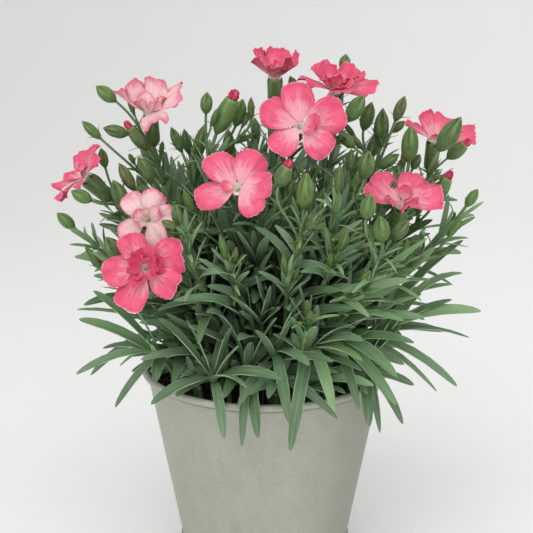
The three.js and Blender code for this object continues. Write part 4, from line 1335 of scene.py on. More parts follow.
class Finish:
    """A procedural material, built node by node round one shader."""

    def __init__(self, name, **shader):
        self.material = bpy.data.materials.get(name) or bpy.data.materials.new(name)
        self.material.use_nodes = True
        self.tree = self.material.node_tree
        self.tree.nodes.clear()
        sockets = {socket.replace("_", " "): value for socket, value in shader.items()}
        self.shader = self.node("ShaderNodeBsdfPrincipled", None, sockets)
        self.node("ShaderNodeOutputMaterial", None, {0: Value(self, self.shader.outputs[0])})

    def node(self, kind, settings=None, inputs=None):
        """A node of that type, its settings made first and then its sockets' values or links."""
        node = self.tree.nodes.new(kind)
        for name, setting in (settings or {}).items():
            setattr(node, name, setting)
        for key, value in (inputs or {}).items():
            self.join(value, node.inputs[key])
        return node

    def join(self, value, socket):
        if isinstance(value, Value):
            self.tree.links.new(value.socket, socket)
        else:
            socket.default_value = value

    def value(self, kind, settings=None, inputs=None, output=0):
        return Value(self, self.node(kind, settings, inputs).outputs[output])

    def parts(self, where):
        """The three parts of a vector."""
        split = self.node("ShaderNodeSeparateXYZ", None, {0: where})
        return [Value(self, part) for part in split.outputs]

    def growth(self):
        """Share from foot to tip, and across or round from 0 to 1."""
        return self.parts(self.value("ShaderNodeUVMap", {"uv_map": "Growth"}))[:2]

    def spot(self):
        return self.value("ShaderNodeTexCoord", output="Object")

    def trait(self, name):
        return self.value("ShaderNodeAttribute", {"attribute_name": name}, output="Fac")

    def vector(self, x, y, z):
        return self.value("ShaderNodeCombineXYZ", None, {0: x, 1: y, 2: z})

    def noise(self, where, scale, detail=2.0):
        return self.value("ShaderNodeTexNoise", None, {"Vector": where, "Scale": scale, "Detail": detail})

    def blend(self, share, first, second):
        """A colour between two, which are colours or sockets."""
        first = first if isinstance(first, Value) else (*first, 1)
        second = second if isinstance(second, Value) else (*second, 1)
        settings = {"data_type": "RGBA"}
        return self.value("ShaderNodeMix", settings, {0: share, 6: first, 7: second}, output=2)

    def bump(self, height, strength, distance):
        inputs = {"Height": height, "Strength": strength, "Distance": distance}
        self.join(self.value("ShaderNodeBump", None, inputs), self.shader.inputs["Normal"])

    def paint(self, colour, layers, roughness=None):
        """The material, from a colour, the layers over it as (share, colour) pairs, and a roughness."""
        for share, over in layers:
            colour = self.blend(share, colour, over)
        self.join(colour, self.shader.inputs["Base Color"])
        if roughness is not None:
            self.join(roughness, self.shader.inputs["Roughness"])
        return self.material


def leaf_finish(look):
    finish = Finish("glaucous leaf", Roughness=0.5)
    along, across = finish.growth()
    tone, glow, shade = finish.trait("tone"), finish.trait("glow"), finish.trait("shade")
    side = abs(across - 0.5) * 2
    streaks = finish.noise(finish.vector(along * 2.5, across * 26, tone * 40), 1.6, 3)
    mottle = finish.noise(finish.spot(), 160, 3)
    layers = (
        (glow, look.fresh),
        (tone.ramp(0.35, 1) * 0.7, look.deep),
        ((1 - tone).ramp(0.6, 1) * 0.25, look.margin),
        (streaks.ramp(0.42, 0.72) * 0.36, look.margin),
        (mottle.ramp(0.5, 0.8) * 0.2, look.deep),
        ((1 - along.ramp(0, 0.2)) * 0.45, look.fresh),
        ((1 - side.ramp(0.02, 0.14)) * 0.16, look.margin),
        (side.ramp(0.86, 0.96) * 0.85, look.margin),
        # Painted shade deep in the mound
        (shade * 0.9, look.painted_depth_shade),
    )
    finish.bump(streaks, 0.25, 0.0006)
    return finish.paint(look.leaf, layers, 0.44 + mottle * 0.2)


def stalk_finish(look):
    finish = Finish("green stalk", Roughness=0.5)
    tone, glow, shade = finish.trait("tone"), finish.trait("glow"), finish.trait("shade")
    mottle = finish.noise(finish.spot(), 300, 2)
    layers = (
        (tone * 0.5, look.deep),
        (mottle.ramp(0.45, 0.7) * 0.25, look.fresh),
        (glow, look.joint),
        # Painted shade deep in the mound
        (shade * 0.8, look.painted_depth_shade),
    )
    return finish.paint(look.stalk, layers, 0.42 + mottle * 0.18)


def bud_finish(look):
    """A bud or calyx: five seams, paler towards the tip, and fine ribs."""
    finish = Finish("green bud", Roughness=0.45)
    along, turn = finish.growth()
    tone, glow, shade = finish.trait("tone"), finish.trait("glow"), finish.trait("shade")
    seam = abs((turn * 5 + 0.5).math("FRACT") - 0.5) * 2
    rib = (turn * 35 * 2 * math.pi).math("SINE")
    mottle = finish.noise(finish.spot(), 380, 3)
    layers = (
        (tone * 0.8, look.bud_deep),
        (mottle.ramp(0.45, 0.75) * 0.3, look.fresh),
        (rib.ramp(0.2, 1) * 0.16, look.joint),
        (seam.ramp(0.6, 0.85) * along.ramp(0.4, 0.7) * 0.3, look.joint),
        (seam.ramp(0.88, 1) * along.ramp(0.25, 0.5) * 0.45, look.bud_deep),
        (along.ramp(0.88, 1) * 0.4, look.joint),
        (glow * mottle.ramp(0.4, 0.6), look.blush),
        # Painted shade deep in the mound
        (shade * 0.7, look.painted_depth_shade),
    )
    finish.bump(rib, 0.3, 0.0002)
    return finish.paint(look.bud, layers, 0.4 + mottle * 0.2)


def petal_finish(name, face, deep, heart, rim, veins, reach, edge):
    """A petal with a streaked heart, a deeper edge and a thin pale rim. Last come the strength of its veins,
    how far out its heart reaches and how deep its edge is."""
    finish = Finish(name, Roughness=0.6)
    along, across = finish.growth()
    tone, glow = finish.trait("tone"), finish.trait("glow")
    side = abs(across - 0.5) * 2
    fan = finish.noise(finish.vector(along * 1.6, across * 22, tone * 60), 1.5, 4)
    cloud = finish.noise(finish.vector(along * 3, across * 3, tone * 30), 1.2, 3)
    fine = finish.noise(finish.vector(along * 5, across * 70, tone * 20), 1.5, 2)
    grain = finish.noise(finish.spot(), 900, 2)
    pale = 1 - (along + (fan - 0.5) * -0.9 + (cloud - 0.5) * 0.5).ramp(reach * 0.35, reach)
    border = (along + (cloud - 0.5) * 0.5).ramp(0.72, 1) + side.ramp(0.7, 1) * along.ramp(0.3, 0.7) * 0.6
    layers = (
        (cloud.ramp(0.4, 0.68) * 0.4, deep),
        (pale * 0.8, heart),
        (fine.ramp(0.5, 0.75) * veins * (1 - along.ramp(0.7, 1)), deep),
        (border * edge, deep),
        # Fine speckles of the rim colour: a painted sparkle where that colour is pale
        (grain.ramp(0.45, 0.7) * 0.14, rim),
        (along.ramp(0.955, 0.985) * 0.7, rim),
        (side.ramp(0.96, 1) * 0.3, rim),
        (glow, deep),
    )
    finish.bump(fan + fine * 0.4, 0.35, 0.0005)
    return finish.paint(face, layers, 0.55 + grain * 0.15)


def zinc_finish(look):
    """Weathered zinc: fine grain, faint streaks, painted shade on one side, a painted highlight on the bead
    and a painted shadow under it, and a stain over the foot.
    """
    finish = Finish("weathered zinc", Metallic=look.metalness)
    spot = finish.spot()
    aside, _, height = finish.parts(spot)
    tall = finish.value("ShaderNodeVectorMath", {"operation": "MULTIPLY"}, {0: spot, 1: (1, 1, 0.4)})
    streaks = finish.noise(tall, 150, 6)
    clouds = finish.noise(spot, 34, 4)
    grain = finish.noise(spot, 900, 3)
    layers = (
        (streaks.ramp(0.35, 0.75) * 0.8, look.metal_dark),
        (clouds.ramp(0.35, 0.7) * 0.35, look.pale_metal_and_highlight),
        (grain.ramp(0.45, 0.7) * 0.5, look.pale_metal_and_highlight),
        ((1 - grain).ramp(0.5, 0.7) * 0.35, look.metal_dark),
        # Painted shade: the right side of the pot darker, where it turns from the light
        ((aside + clouds * 0.01).ramp(0.02, 0.062) * 0.8, look.painted_side_shade),
        # Painted highlight on top of the bead
        (height.ramp(0.0985, 0.1) * 0.3, look.pale_metal_and_highlight),
        # Painted shadow under the bead
        ((1 - abs(height - 0.0976).ramp(0.0003, 0.0012)) * 0.45, look.stain_and_bead_shadow),
        # A stain just over the foot band
        ((1 - abs(height - 0.0097).ramp(0.0002, 0.001)) * 0.5, look.stain_and_bead_shadow),
    )
    finish.bump(streaks + grain * 0.5, 0.08, 0.0003)
    return finish.paint(look.metal, layers, 0.44 + clouds * 0.12)


def compost_finish(look):
    finish = Finish("damp compost", Roughness=0.95)
    tone = finish.trait("tone")
    clods = finish.noise(finish.spot(), 260, 5)
    grain = finish.noise(finish.spot(), 1400, 4)
    shares = (clods.ramp(0.3, 0.7), tone * 0.5, grain.ramp(0.55, 0.8) * 0.4)
    finish.bump(clods + grain * 0.6, 0.8, 0.0015)
    return finish.paint(look.compost, [(share, look.compost_pale) for share in shares])


def style_finish(look):
    finish = Finish("pale style", Roughness=0.5)
    along, _ = finish.growth()
    return finish.paint(look.style, [(along.ramp(0.3, 1), look.coral)])


def claw_finish(look):
    finish = Finish("cream claw", Roughness=0.55)
    along, turn = finish.growth()
    rib = (turn * 10 * 2 * math.pi).math("SINE")
    return finish.paint(look.claw, [(along.ramp(0.3, 1), look.cream), (rib.ramp(0, 1) * 0.25, look.claw)])


# Places of the green finishes, and of a bloom's, on a piece
LEAF, STALK, BUD = 0, 1, 2
PETAL, CLAW, STYLE = 0, 1, 2


def green_finishes():
    look = bpy.context.scene.dianthus_foliage
    return [leaf_finish(look), stalk_finish(look), bud_finish(look)]


# Stalks, leaves, bracts and buds


# How much a stalk swells at a joint, and over which share of its length
JOINT_SWELL = 0.5
JOINT_SHARE = 0.016

# Leaves are low or at a side when their tips are past these, and wholly so this much further on. Those whose
# feet lie past the turning line show their faces to the back.
LOW_TIP = 118
SIDE_TIP = 45
TIP_FADE = 40
TURNING_LINE = 12

# Where a branch and a further shoot have joints, and where tufts and small buds grow, as shares of a stalk
BRANCH_JOINT = 0.62
FURTHER_JOINTS = (0.5, 0.7)
STEM_TUFTS = (0.72, 0.8, 0.87)
FURTHER_TUFTS = (0.76, 0.85)
SMALL_BUDS = (0.8, 0.89)
BRANCH_BUD = 0.6

# Bracts under a calyx: how far under it, length, width and spread in degrees
CALYX_BRACTS = ((1, 10, 3.2, 17), (3, 8, 1.5, 46))


def swelling(shares, joints):
    """1 at a joint of a stalk, falling to 0 away from it."""
    gaps = np.abs(np.asarray(shares)[:, None] - np.asarray([*joints, 2])[None])
    return np.exp(-((gaps / JOINT_SHARE) ** 2)).max(1)


def add_stalk(patch, curve, radii, joints, rings, tone, sides=8):
    """A stalk with swollen joints, whose radii are those at its foot and its tip."""
    pattern = stalk_pattern(sides, rings)

    def radius_at(share):
        return mix(*radii, share) * (1 + JOINT_SWELL * swelling(share, joints))

    swell = swelling(pattern.points[:, 2], joints)
    patch.add(pattern, lay_stalk(pattern, curve, radius_at), STALK, tone, swell * 0.7)


def add_leaf(patch, leaf, draw, columns=2, roll=0.0):
    """A leaf. It is darker when it is low, a painted shade under the mound, and fresher at a side. A roll
    turns its face outwards.
    """
    foot, tip = leaf.curve.at(0), leaf.curve.at(1)
    low = max(0, min(1, (LOW_TIP - tip[2]) / TIP_FADE))
    aside = max(0, min(1, (abs(tip[0]) - SIDE_TIP) / TIP_FADE))
    glow = low * draw(0, 0.25) + aside * draw(0, 0.8) + (0.7 if draw(0, 1) > 0.9 else 0)
    if (leaf.side[1] < 0) == (foot[1] < TURNING_LINE):
        roll = -roll
    pattern = blade_pattern(columns)
    points = lay_leaf(pattern, leaf, draw(-0.45, 0.45), draw(0.02, 0.2), draw(-0.05, 0.05), roll)
    # The tone is drawn at random and raised for a low leaf, as painted shade under the mound
    patch.add(pattern, points, LEAF, min(draw(0, 1) + 0.4 * low, 1), min(glow, 1))


def add_bracts(patch, foot, axis, count, length, width, spread, draw):
    """Small pointed bracts round a joint."""
    start = draw(0, 2 * math.pi)
    pattern = blade_pattern(2, BRACT_ROWS)
    for order in range(count):
        out = around(axis, start + 2 * math.pi * order / count)
        reach = length * draw(0.8, 1.2)
        bract = pair_leaf(foot, axis, out, reach, spread + draw(-10, 10), draw(-0.1, 0.12), width)
        patch.add(pattern, lay_leaf(pattern, bract, draw(-0.3, 0.3), 0.25), BUD, draw(0.3, 1))


def add_bud(patch, bud, draw):
    pattern = open_bud_pattern() if bud.is_open else bud_pattern()
    points = lay_round(pattern, bud.foot, bud.axis, bud.length, bud.radius, draw(0, 2 * math.pi))
    patch.add(pattern, points, BUD, draw(0, 1), max(0, draw(-1.2, 0.4)))
    base = bud.foot - bud.axis * 0.4
    add_bracts(patch, base, bud.axis, 4, bud.length * 0.6, bud.radius, 20, draw)
    add_bracts(patch, base - bud.axis, bud.axis, 2, bud.length * 0.7, 1.2, 44, draw)


def add_small_bud(patch, curve, share, draw):
    """A young bud on a short stalk of its own, unless it would hide a bloom."""
    start, along = curve.at(share), curve.along(share)
    out = around(along, draw(0, 2 * math.pi))
    foot = start + along * draw(5, 9) + out * draw(3, 5)
    axis = unit(along + out * 0.45)
    bud = Bud(foot, axis, draw(6.5, 10), draw(1.1, 1.7))
    if hides_bloom(foot + axis * bud.length * np.linspace(0, 1, 4)[:, None]):
        return
    stalk = branch_curve(start, unit(along + out * 0.6), foot, axis)
    add_stalk(patch, stalk, SMALL_RADII, [], 6, draw(0, 1), 5)
    add_bud(patch, bud, draw)


def add_tuft(patch, curve, share, draw):
    """A tuft of young yellow-green leaves in a joint."""
    pattern = blade_pattern(2)
    foot, along = curve.at(share), curve.along(share)
    for _ in range(3):
        out = around(along, draw(0, 2 * math.pi))
        leaf = pair_leaf(foot, along, out, draw(11, 23), draw(18, 62), draw(-0.1, 0.3), draw(1.6, 2.6))
        if not hides_bloom(leaf.curve.points(4)):
            patch.add(pattern, lay_leaf(pattern, leaf, draw(-0.6, 0.6), 0.2), LEAF, draw(0, 0.3), 1)


def add_fork(patch, curve, draw):
    """Narrow bracts where a branch leaves its stem and part way along it, and a young bud."""
    for share, length in ((0.03, draw(9, 16)), (BRANCH_JOINT, draw(6, 11))):
        add_bracts(patch, curve.at(share), curve.along(share), 2, length, 1.7, 44, draw)
    add_small_bud(patch, curve, BRANCH_BUD, draw)


def model_stem(plant, seed):
    """A flowering stem: stalk, branches, leaves, bracts, calyx and buds."""
    draw = dice(seed)
    patch = Patch()
    is_shoot = len(plant.tips) > 0
    joints = [] if is_shoot else [share for share, *_ in STEM_LEAVES] + plant.forks
    add_stalk(patch, plant.curve, STALK_RADII, joints, 56, draw(0, 1))
    for curve in plant.branches:
        add_stalk(patch, curve, BRANCH_RADII, [BRANCH_JOINT], 20, draw(0, 1), 6)
        add_fork(patch, curve, draw)
    for leaf in plant.leaves:
        add_leaf(patch, leaf, draw, 4, draw(0.1, 0.8))
    for leaf in plant.extras:
        add_leaf(patch, leaf, draw, 2, draw(-0.2, 1))
    for share in () if is_shoot else STEM_TUFTS:
        add_tuft(patch, plant.curve, share, draw)
    if plant.bloom:
        for share in SMALL_BUDS:
            add_small_bud(patch, plant.curve, share, draw)
        pattern = calyx_pattern()
        points = lay_round(pattern, plant.top, plant.direction, CALYX_LENGTH, CALYX_RADIUS, draw(0, 6))
        patch.add(pattern, points, BUD, draw(0.5, 1))
        for under, length, width, spread in CALYX_BRACTS:
            foot = plant.top - plant.direction * under
            add_bracts(patch, foot, plant.direction, 4, length, width, spread, draw)
    for bud in plant.buds:
        add_bud(patch, bud, draw)
    name = plant.name.replace("stem", "flower_stem").replace("shoot", "leafy_shoot")
    hand_over(patch.piece(name, green_finishes()), "foliage", plant.name)


def model_foliage(plants, number):
    """Several of the further shoots and bud stalks as one piece."""
    draw = dice(FOLIAGE_SEED + number)
    patch = Patch()
    for plant in plants:
        add_stalk(patch, plant.curve, FURTHER_RADII, FURTHER_JOINTS, 24, draw(0, 1), 6)
        for leaf in plant.extras:
            add_leaf(patch, leaf, draw, 2, draw(-0.2, 1))
        for share in FURTHER_TUFTS if plant.buds else ():
            add_tuft(patch, plant.curve, share, draw)
        for bud in plant.buds:
            add_bud(patch, bud, draw)
            add_small_bud(patch, plant.curve, draw(0.8, 0.9), draw)
    hand_over(patch.piece(f"foliage_{number}", green_finishes()), "foliage")


@functools.cache
def thicket(*counts):
    """The further shoots, so many of each kind, and those that hide the rear blooms from the front."""
    stems, _, crowd = growth()
    crowd = copy.deepcopy(crowd)
    for number, plant in enumerate(stems):
        plant.extras = leafy_pairs(crowd, plant, MORE_PAIRS, STEM_PAIR_SEED + number)
    plants = []
    for kind, count in zip(KINDS, counts):
        for index in range(count):
            plant = shoot_between(kind, index, count)
            has_bud = kind in ("tall", "young")
            # The upper part of the stalk, moved up to where the bud is
            if has_bud and hides_bloom(plant.curve.points(24)[8:] + plant.direction * 6):
                continue
            seed = FURTHER_PAIR_SEED + len(plants)
            plant.extras = leafy_pairs(crowd, plant, KINDS[kind][-1], seed, ease=1.6)
            if has_bud:
                draw = dice(FURTHER_BUD_SEED + index)
                size = 1 if kind == "tall" else 0.75
                plant.buds = [Bud(plant.top, plant.direction, size * draw(9, 14), size * draw(1.6, 2.6))]
            plants.append(plant)
    for stem in stems[len(STEMS) :]:
        for index in range(SCREEN if stem.bloom else 0):
            plant = shoot_before(stem.bloom, len(plants))
            seed = FURTHER_PAIR_SEED + len(plants)
            plant.extras = leafy_pairs(crowd, plant, SHOOT_PAIRS, seed, ease=1.8)
            plants.append(plant)
    return plants


# Blooms

# The double bloom with a crimson heart, and its number of small petals
CRIMSON_BLOOM = "bloom_4"
CRIMSON_PETALS = 12

# Petals are small under this size, and steep past this rise in degrees
SMALL_PETAL = 0.8
STEEP_PETAL = 40

# A petal's fan: half its angle, how much wider that is at the claw, and its lobes as a share of its length
FAN_ANGLE = 35
CLAW_FAN = 17
LOBE_SHARE = 0.05

# Draws round a whole circle, in radians
ROUND_TURN = 6.28


def petal_form(bloom, petal, index, columns, draw, look):
    """The surface of one petal in the bloom's own frame, as a function of share and across."""
    turn, size, rise = petal
    is_small = size < SMALL_PETAL
    bites = [draw(0.3, 1) if column % 2 else draw(0, 0.2) for column in range(columns + 1)]
    lobes = [draw(0, 1) for _ in range(5)]
    phase, waves = draw(0, ROUND_TURN), draw(4, 6.5)
    cup, curl = draw(0.2, 0.9), draw(0.4, 1.5)
    if rise > STEEP_PETAL and not is_small:
        curl = -1.8 * curl
    crumple = min(bloom.ruffle, 1.3) * size * (1.5 if is_small else 1)
    angle, lift = math.radians(turn), math.radians(rise)
    normal = vec(-math.sin(lift) * math.cos(angle), -math.sin(lift) * math.sin(angle), math.cos(lift))

    def form(share, across):
        spread = (across + 1) / 2
        bite = np.interp(spread * columns, range(columns + 1), bites)
        lobe = np.interp(spread * 4, range(5), lobes)
        edge = 1 - (look.tooth_depth * bite / bloom.length + LOBE_SHARE * lobe) * share**8
        far = share * edge * (1 - 0.3 * np.abs(across) ** 3.5 * share**2)
        aside = np.radians(FAN_ANGLE + CLAW_FAN * (1 - share)) * across
        local = bloom.surface(petal, index, far * np.cos(aside), far * np.sin(aside), share, across)
        folds = np.sin(waves * across + phase)
        ripple = folds * share**2 + 0.55 * np.sin(2.7 * waves * across - phase) * share**5
        keel = -0.5 * np.exp(-((across / 0.16) ** 2)) * np.sin(math.pi * share)
        raised = size * (cup * np.sin(math.pi * share) + keel - curl * share**4) + crumple * ripple
        return local + raised[..., None] * normal

    return form


def lay_petal(pattern, bloom, form):
    share, across, depth = pattern.points.T
    near, step = np.clip(share, 0.01, 0.99), 0.01
    middle = np.clip(across, -0.99, 0.99)
    down = form(near + step, across) - form(near - step, across)
    side = form(near, middle + step) - form(near, middle - step)
    local = form(share, across) + unit(np.cross(down, side)) * depth[:, None]
    return bloom.placed(local)


def more_petals(bloom, draw):
    """Small crumpled petals round the throat of a double bloom."""
    count = max(0, round((bloom.ruffle - 1) * 12))
    if bloom.name == CRIMSON_BLOOM:
        count = CRIMSON_PETALS
    return [(draw(0, 360), draw(0.28, 0.6), draw(36, 78)) for _ in range(count)]


def model_bloom(bloom, number, finishes):
    draw = dice(BLOOM_SEED + number)
    look = bpy.context.scene.dianthus_bloom
    patch = Patch()
    is_crimson = bloom.name == CRIMSON_BLOOM
    # Each ring's petals, and their rows and columns of faces
    rings = ((bloom.petals, 18, 26), (bloom.inner, 14, 18), (more_petals(bloom, draw), 10, 14))
    for ring, (petals, rows, columns) in enumerate(rings):
        pattern = petal_pattern(rows, columns)
        for k, petal in enumerate(petals):
            form = petal_form(bloom, petal, k, columns, draw, look)
            glow = draw(0.45, 0.9) if is_crimson and ring else draw(0, 0.2)
            patch.add(pattern, lay_petal(pattern, bloom, form), PETAL, draw(0, 1), glow)
    slope = math.radians(sum(rise for _, _, rise in bloom.petals) / len(bloom.petals))
    steep = 1.5 * math.tan(slope)
    rows = [(-4, 1.2), (-0.6, 2.1), (0.4, 2.4), (0.3 + steep, 3.5), (0.4 + steep, 3.2), (0, 1.6), (-2, 0.6)]
    claws = Pattern(turned(15, rows).done(), True)
    patch.add(claws, lay_round(claws, bloom.throat, bloom.axis, 1, 1), CLAW)
    thread = stalk_pattern(5, 10)
    for _ in range(2):
        turn, far = draw(0, ROUND_TURN), draw(2, 4.5)
        out = around(bloom.axis, turn)
        high = bloom.throat + bloom.axis * draw(5, 7.5)
        foot = bloom.throat + out * 0.4
        style = Curve(foot, mix(foot, high, 0.7), high + out * far * 0.3, high + out * far)
        patch.add(thread, lay_stalk(thread, style, lambda share: STYLE_RADIUS * (1 - 0.6 * share)), STYLE)
    slot = "petal_pale" if bloom.pale else "petal_coral"
    hand_over(patch.piece(f"open_bloom_{number}", finishes), slot, bloom.name, angle=70)


def petal_finishes(pale):
    look = bpy.context.scene.dianthus_bloom
    if pale:
        colours = (look.pale, look.pale_deep, look.cream, look.coral)
        petal = petal_finish("pale petal", *colours, veins=0.5, reach=1.1, edge=0.8)
    else:
        colours = (look.coral, look.coral_deep, look.heart, look.rim)
        petal = petal_finish("coral petal", *colours, veins=0.5, reach=0.68, edge=0.55)
    return [petal, claw_finish(look), style_finish(look)]


# What a user can change


def colour_choice(label, about, code):
    return bpy.props.FloatVectorProperty(name=label, description=about, subtype="COLOR", default=tint(code))


def count_choice(label, about, default):
    return bpy.props.IntProperty(name=label, description=about, default=default, min=0)


def number_choice(label, about, default, **limits):
    return bpy.props.FloatProperty(name=label, description=about, default=default, min=0, **limits)


class PotLook(bpy.types.PropertyGroup):
    metal: colour_choice("Metal", "Main colour of the zinc", "a7a99c")
    metal_dark: colour_choice("Dark metal", "Streaks down the zinc", "9c9e8f")
    # The pale metal also paints the highlight on top of the bead
    pale_metal_and_highlight: colour_choice("Pale metal", "Clouds and grain of the zinc", "b4b6a9")
    # This colour paints shade on the right side of the pot
    painted_side_shade: colour_choice("Tarnish", "Duller zinc on one side", "8b8d80")
    # Under the bead this colour is a painted shadow. Over the foot band it is a stain.
    stain_and_bead_shadow: colour_choice("Stain", "Line under the bead and over the foot band", "6b5148")
    metalness: number_choice("Metalness", "How metallic the zinc looks", 0.3, max=1, subtype="FACTOR")
    compost: colour_choice("Compost", "Main colour of the compost", "1e1712")
    compost_pale: colour_choice("Pale compost", "Crumbs and fibres", "45362a")
    crumbs: count_choice("Crumbs", "Number of crumbs on the compost", 700)


class FoliageLook(bpy.types.PropertyGroup):
    leaf: colour_choice("Leaf", "Main colour of the leaves", "65875f")
    deep: colour_choice("Deep leaf", "Darker leaves", "446444")
    fresh: colour_choice("Fresh leaf", "Low and young leaves", "74a05c")
    margin: colour_choice("Margin", "Leaf margins and veins", "b4c8a6")
    stalk: colour_choice("Stalk", "Colour of the stalks", "708c60")
    joint: colour_choice("Joint", "Joints of the stalks and tips of the buds", "a3b56c")
    bud: colour_choice("Bud", "Main colour of buds and calyces", "597a3d")
    bud_deep: colour_choice("Deep bud", "Darker buds and calyces", "384f2a")
    blush: colour_choice("Blush", "Reddish patches of some buds", "8a6a44")
    # This colour paints shade on leaves, stalks and buds deep in the mound
    painted_depth_shade: colour_choice("Depths", "Leaves and stalks deep in the mound", "17210f")
    low_shoots: count_choice("Low shoots", "Leafy shoots added between the frame's", 98)
    rim_shoots: count_choice("Rim shoots", "Short tufts added just inside the rim", 44)
    tall_shoots: count_choice("Tall shoots", "Bud stalks added between the frame's", 34)
    young_stalks: count_choice("Young stalks", "Short bud stalks added round the mound", 24)


class BloomLook(bpy.types.PropertyGroup):
    coral: colour_choice("Coral", "Main colour of the coral petals", "ed5f81")
    coral_deep: colour_choice("Deep coral", "Deeper patches and centres", "d63a66")
    heart: colour_choice("Heart", "Pale streaked heart of the coral petals", "f6c6cf")
    rim: colour_choice("Rim", "Thin pale edge and sparkle", "f2a3b3")
    pale: colour_choice("Pale petal", "Main colour of the pale petals", "f0b3c0")
    pale_deep: colour_choice("Pale petal's shade", "Deeper patches of the pale petals", "dd7390")
    cream: colour_choice("Cream", "Hearts of the pale petals and claws", "f3e4da")
    claw: colour_choice("Claw", "Greenish foot of the petals", "a3ad72")
    style: colour_choice("Style", "Thread-like styles", "f6e6e6")
    tip: colour_choice("Rolled tip", "Petals still rolled in a bud", "ba2246")
    tooth_depth: number_choice("Tooth depth", "Depth of the petals' teeth in millimetres", 0.75)


class StageLook(bpy.types.PropertyGroup):
    backdrop: colour_choice("Backdrop", "Brightest part of the floor, in front on the right", "ffffff")
    backdrop_far: colour_choice("Far backdrop", "Darkest part of the floor, behind on the left", "dadad8")
    key: number_choice("Key", "Power of the large light", 23, unit="POWER")
    fill: number_choice("Fill", "Power of the side light", 2, unit="POWER")
    sky: number_choice("Sky", "Strength of the light all round", 0.7)


# Operators


def further_plants():
    """The further shoots and stalks, after which the flowering stems have their further leaves too."""
    look = bpy.context.scene.dianthus_foliage
    return thicket(look.low_shoots, look.rim_shoots, look.tall_shoots, look.young_stalks)


class MakePot(bpy.types.Operator):
    """Turn the zinc pot with its bead and foot band"""

    bl_idname = "dianthus.pot"
    bl_label = "Pot"

    def execute(self, context):
        def wall(height):
            share = (height - FOOT_HEIGHT) / (POT_HEIGHT - FOOT_HEIGHT)
            return mix(POT_BOTTOM_RADIUS, POT_TOP_RADIUS, share)

        # The foot band with its rounded edges, and the wall from there to the bead
        outside = [(0, FOOT_RADIUS - 0.6), (0.3, FOOT_RADIUS - 0.15), (0.9, FOOT_RADIUS), (8.7, FOOT_RADIUS)]
        outside += [(9.1, FOOT_RADIUS - 0.2), (FOOT_HEIGHT, POT_BOTTOM_RADIUS), (10, wall(10))]
        outside += [(height, wall(height)) for height in (30, 52, 74, 90, 97, 98.2)]
        bead_height = POT_HEIGHT - BEAD_RADIUS
        bead_centre = POT_TOP_RADIUS + BEAD_OUT
        bead = []
        for degrees in range(-70, 200, 18):
            rise, out = math.sin(math.radians(degrees)), math.cos(math.radians(degrees))
            bead.append((bead_height + BEAD_RADIUS * rise, bead_centre + BEAD_RADIUS * out))
        inside = [(height, wall(height) - POT_WALL) for height in (98.4, 96, 60, 24, 10.7)]
        pattern = Pattern(turned(128, outside + bead + inside).done(), True)
        patch = Patch()
        patch.add(pattern, pattern.points)
        piece = patch.piece("zinc_pot", [zinc_finish(context.scene.dianthus_pot)])
        hand_over(piece, "zinc", "pot", angle=35)
        return {"FINISHED"}


# Crumbs: how far from the axis they lie and how deep their feet sit in the compost
CRUMB_REACH = 56
CRUMB_SINK = 0.4


class MakeCompost(bpy.types.Operator):
    """Fill the pot with compost and strew crumbs over it"""

    bl_idname = "dianthus.compost"
    bl_label = "Compost"

    def execute(self, context):
        look = context.scene.dianthus_pot
        rows = [(11, 41.5), (50, 49), (88, 56.3), (90.6, 57), (91.3, 55), (91.2, 48), (91.6, 40),
                (91.2, 31), (91.7, 22), (91.3, 13), (91.6, 5)]
        bench = turned(72, rows)
        bench.pick(lambda co: co.z > 89)
        bpy.ops.transform.vertex_random(offset=0.9, seed=4)
        pattern = Pattern(bench.done(), True)
        patch = Patch()
        patch.add(pattern, pattern.points)
        draw = dice(CRUMB_SEED)
        crumb = crumb_pattern()
        for _ in range(look.crumbs):
            angle, out, size = draw(0, 2 * math.pi), CRUMB_REACH * math.sqrt(draw(0, 1)), draw(0.5, 1.6)
            foot = polar(angle, out, SOIL_TOP - CRUMB_SINK)
            axis = unit(vec(draw(-1, 1), draw(-1, 1), 1))
            points = lay_round(crumb, foot, axis, size, size * draw(0.7, 1.3))
            patch.add(crumb, points, 0, draw(0, 1))
        hand_over(patch.piece("compost", [compost_finish(look)]), "compost", "soil", angle=30)
        return {"FINISHED"}


class MakeStems(bpy.types.Operator):
    """Model the flowering stems with their leaves, calyces and buds"""

    bl_idname = "dianthus.stems"
    bl_label = "Flowering stems"

    def execute(self, context):
        further_plants()
        for order, plant in enumerate(growth()[0]):
            model_stem(plant, STEM_SEED + order + 1)
        return {"FINISHED"}


class MakeShoots(bpy.types.Operator):
    """Model the frame's leafy shoots"""

    bl_idname = "dianthus.shoots"
    bl_label = "Leafy shoots"

    def execute(self, context):
        for order, plant in enumerate(growth()[1]):
            model_stem(plant, SHOOT_SEED + order)
        return {"FINISHED"}


class MakeFoliage(bpy.types.Operator):
    """Fill the plant with further shoots and bud stalks"""

    bl_idname = "dianthus.foliage"
    bl_label = "Further foliage"

    def execute(self, context):
        plants = further_plants()
        for order in range(FOLIAGE_PIECES):
            model_foliage(plants[order::FOLIAGE_PIECES], order + 1)
        return {"FINISHED"}


class MakeBlooms(bpy.types.Operator):
    """Model the open blooms"""

    bl_idname = "dianthus.blooms"
    bl_label = "Blooms"

    def execute(self, context):
        blooms = [plant.bloom for plant in growth()[0] if plant.bloom]
        for bloom in blooms:
            model_bloom(bloom, int(bloom.name.split("_")[1]), petal_finishes(bloom.pale))
        return {"FINISHED"}


# Rolled petals: where they leave the bud, as a share of its length, how far they reach out of it in
# millimetres, and their radius as a share of the bud's
MOUTH_SHARE = 0.84
TIP_OUT = 1.6
TIP_RADIUS = 0.6


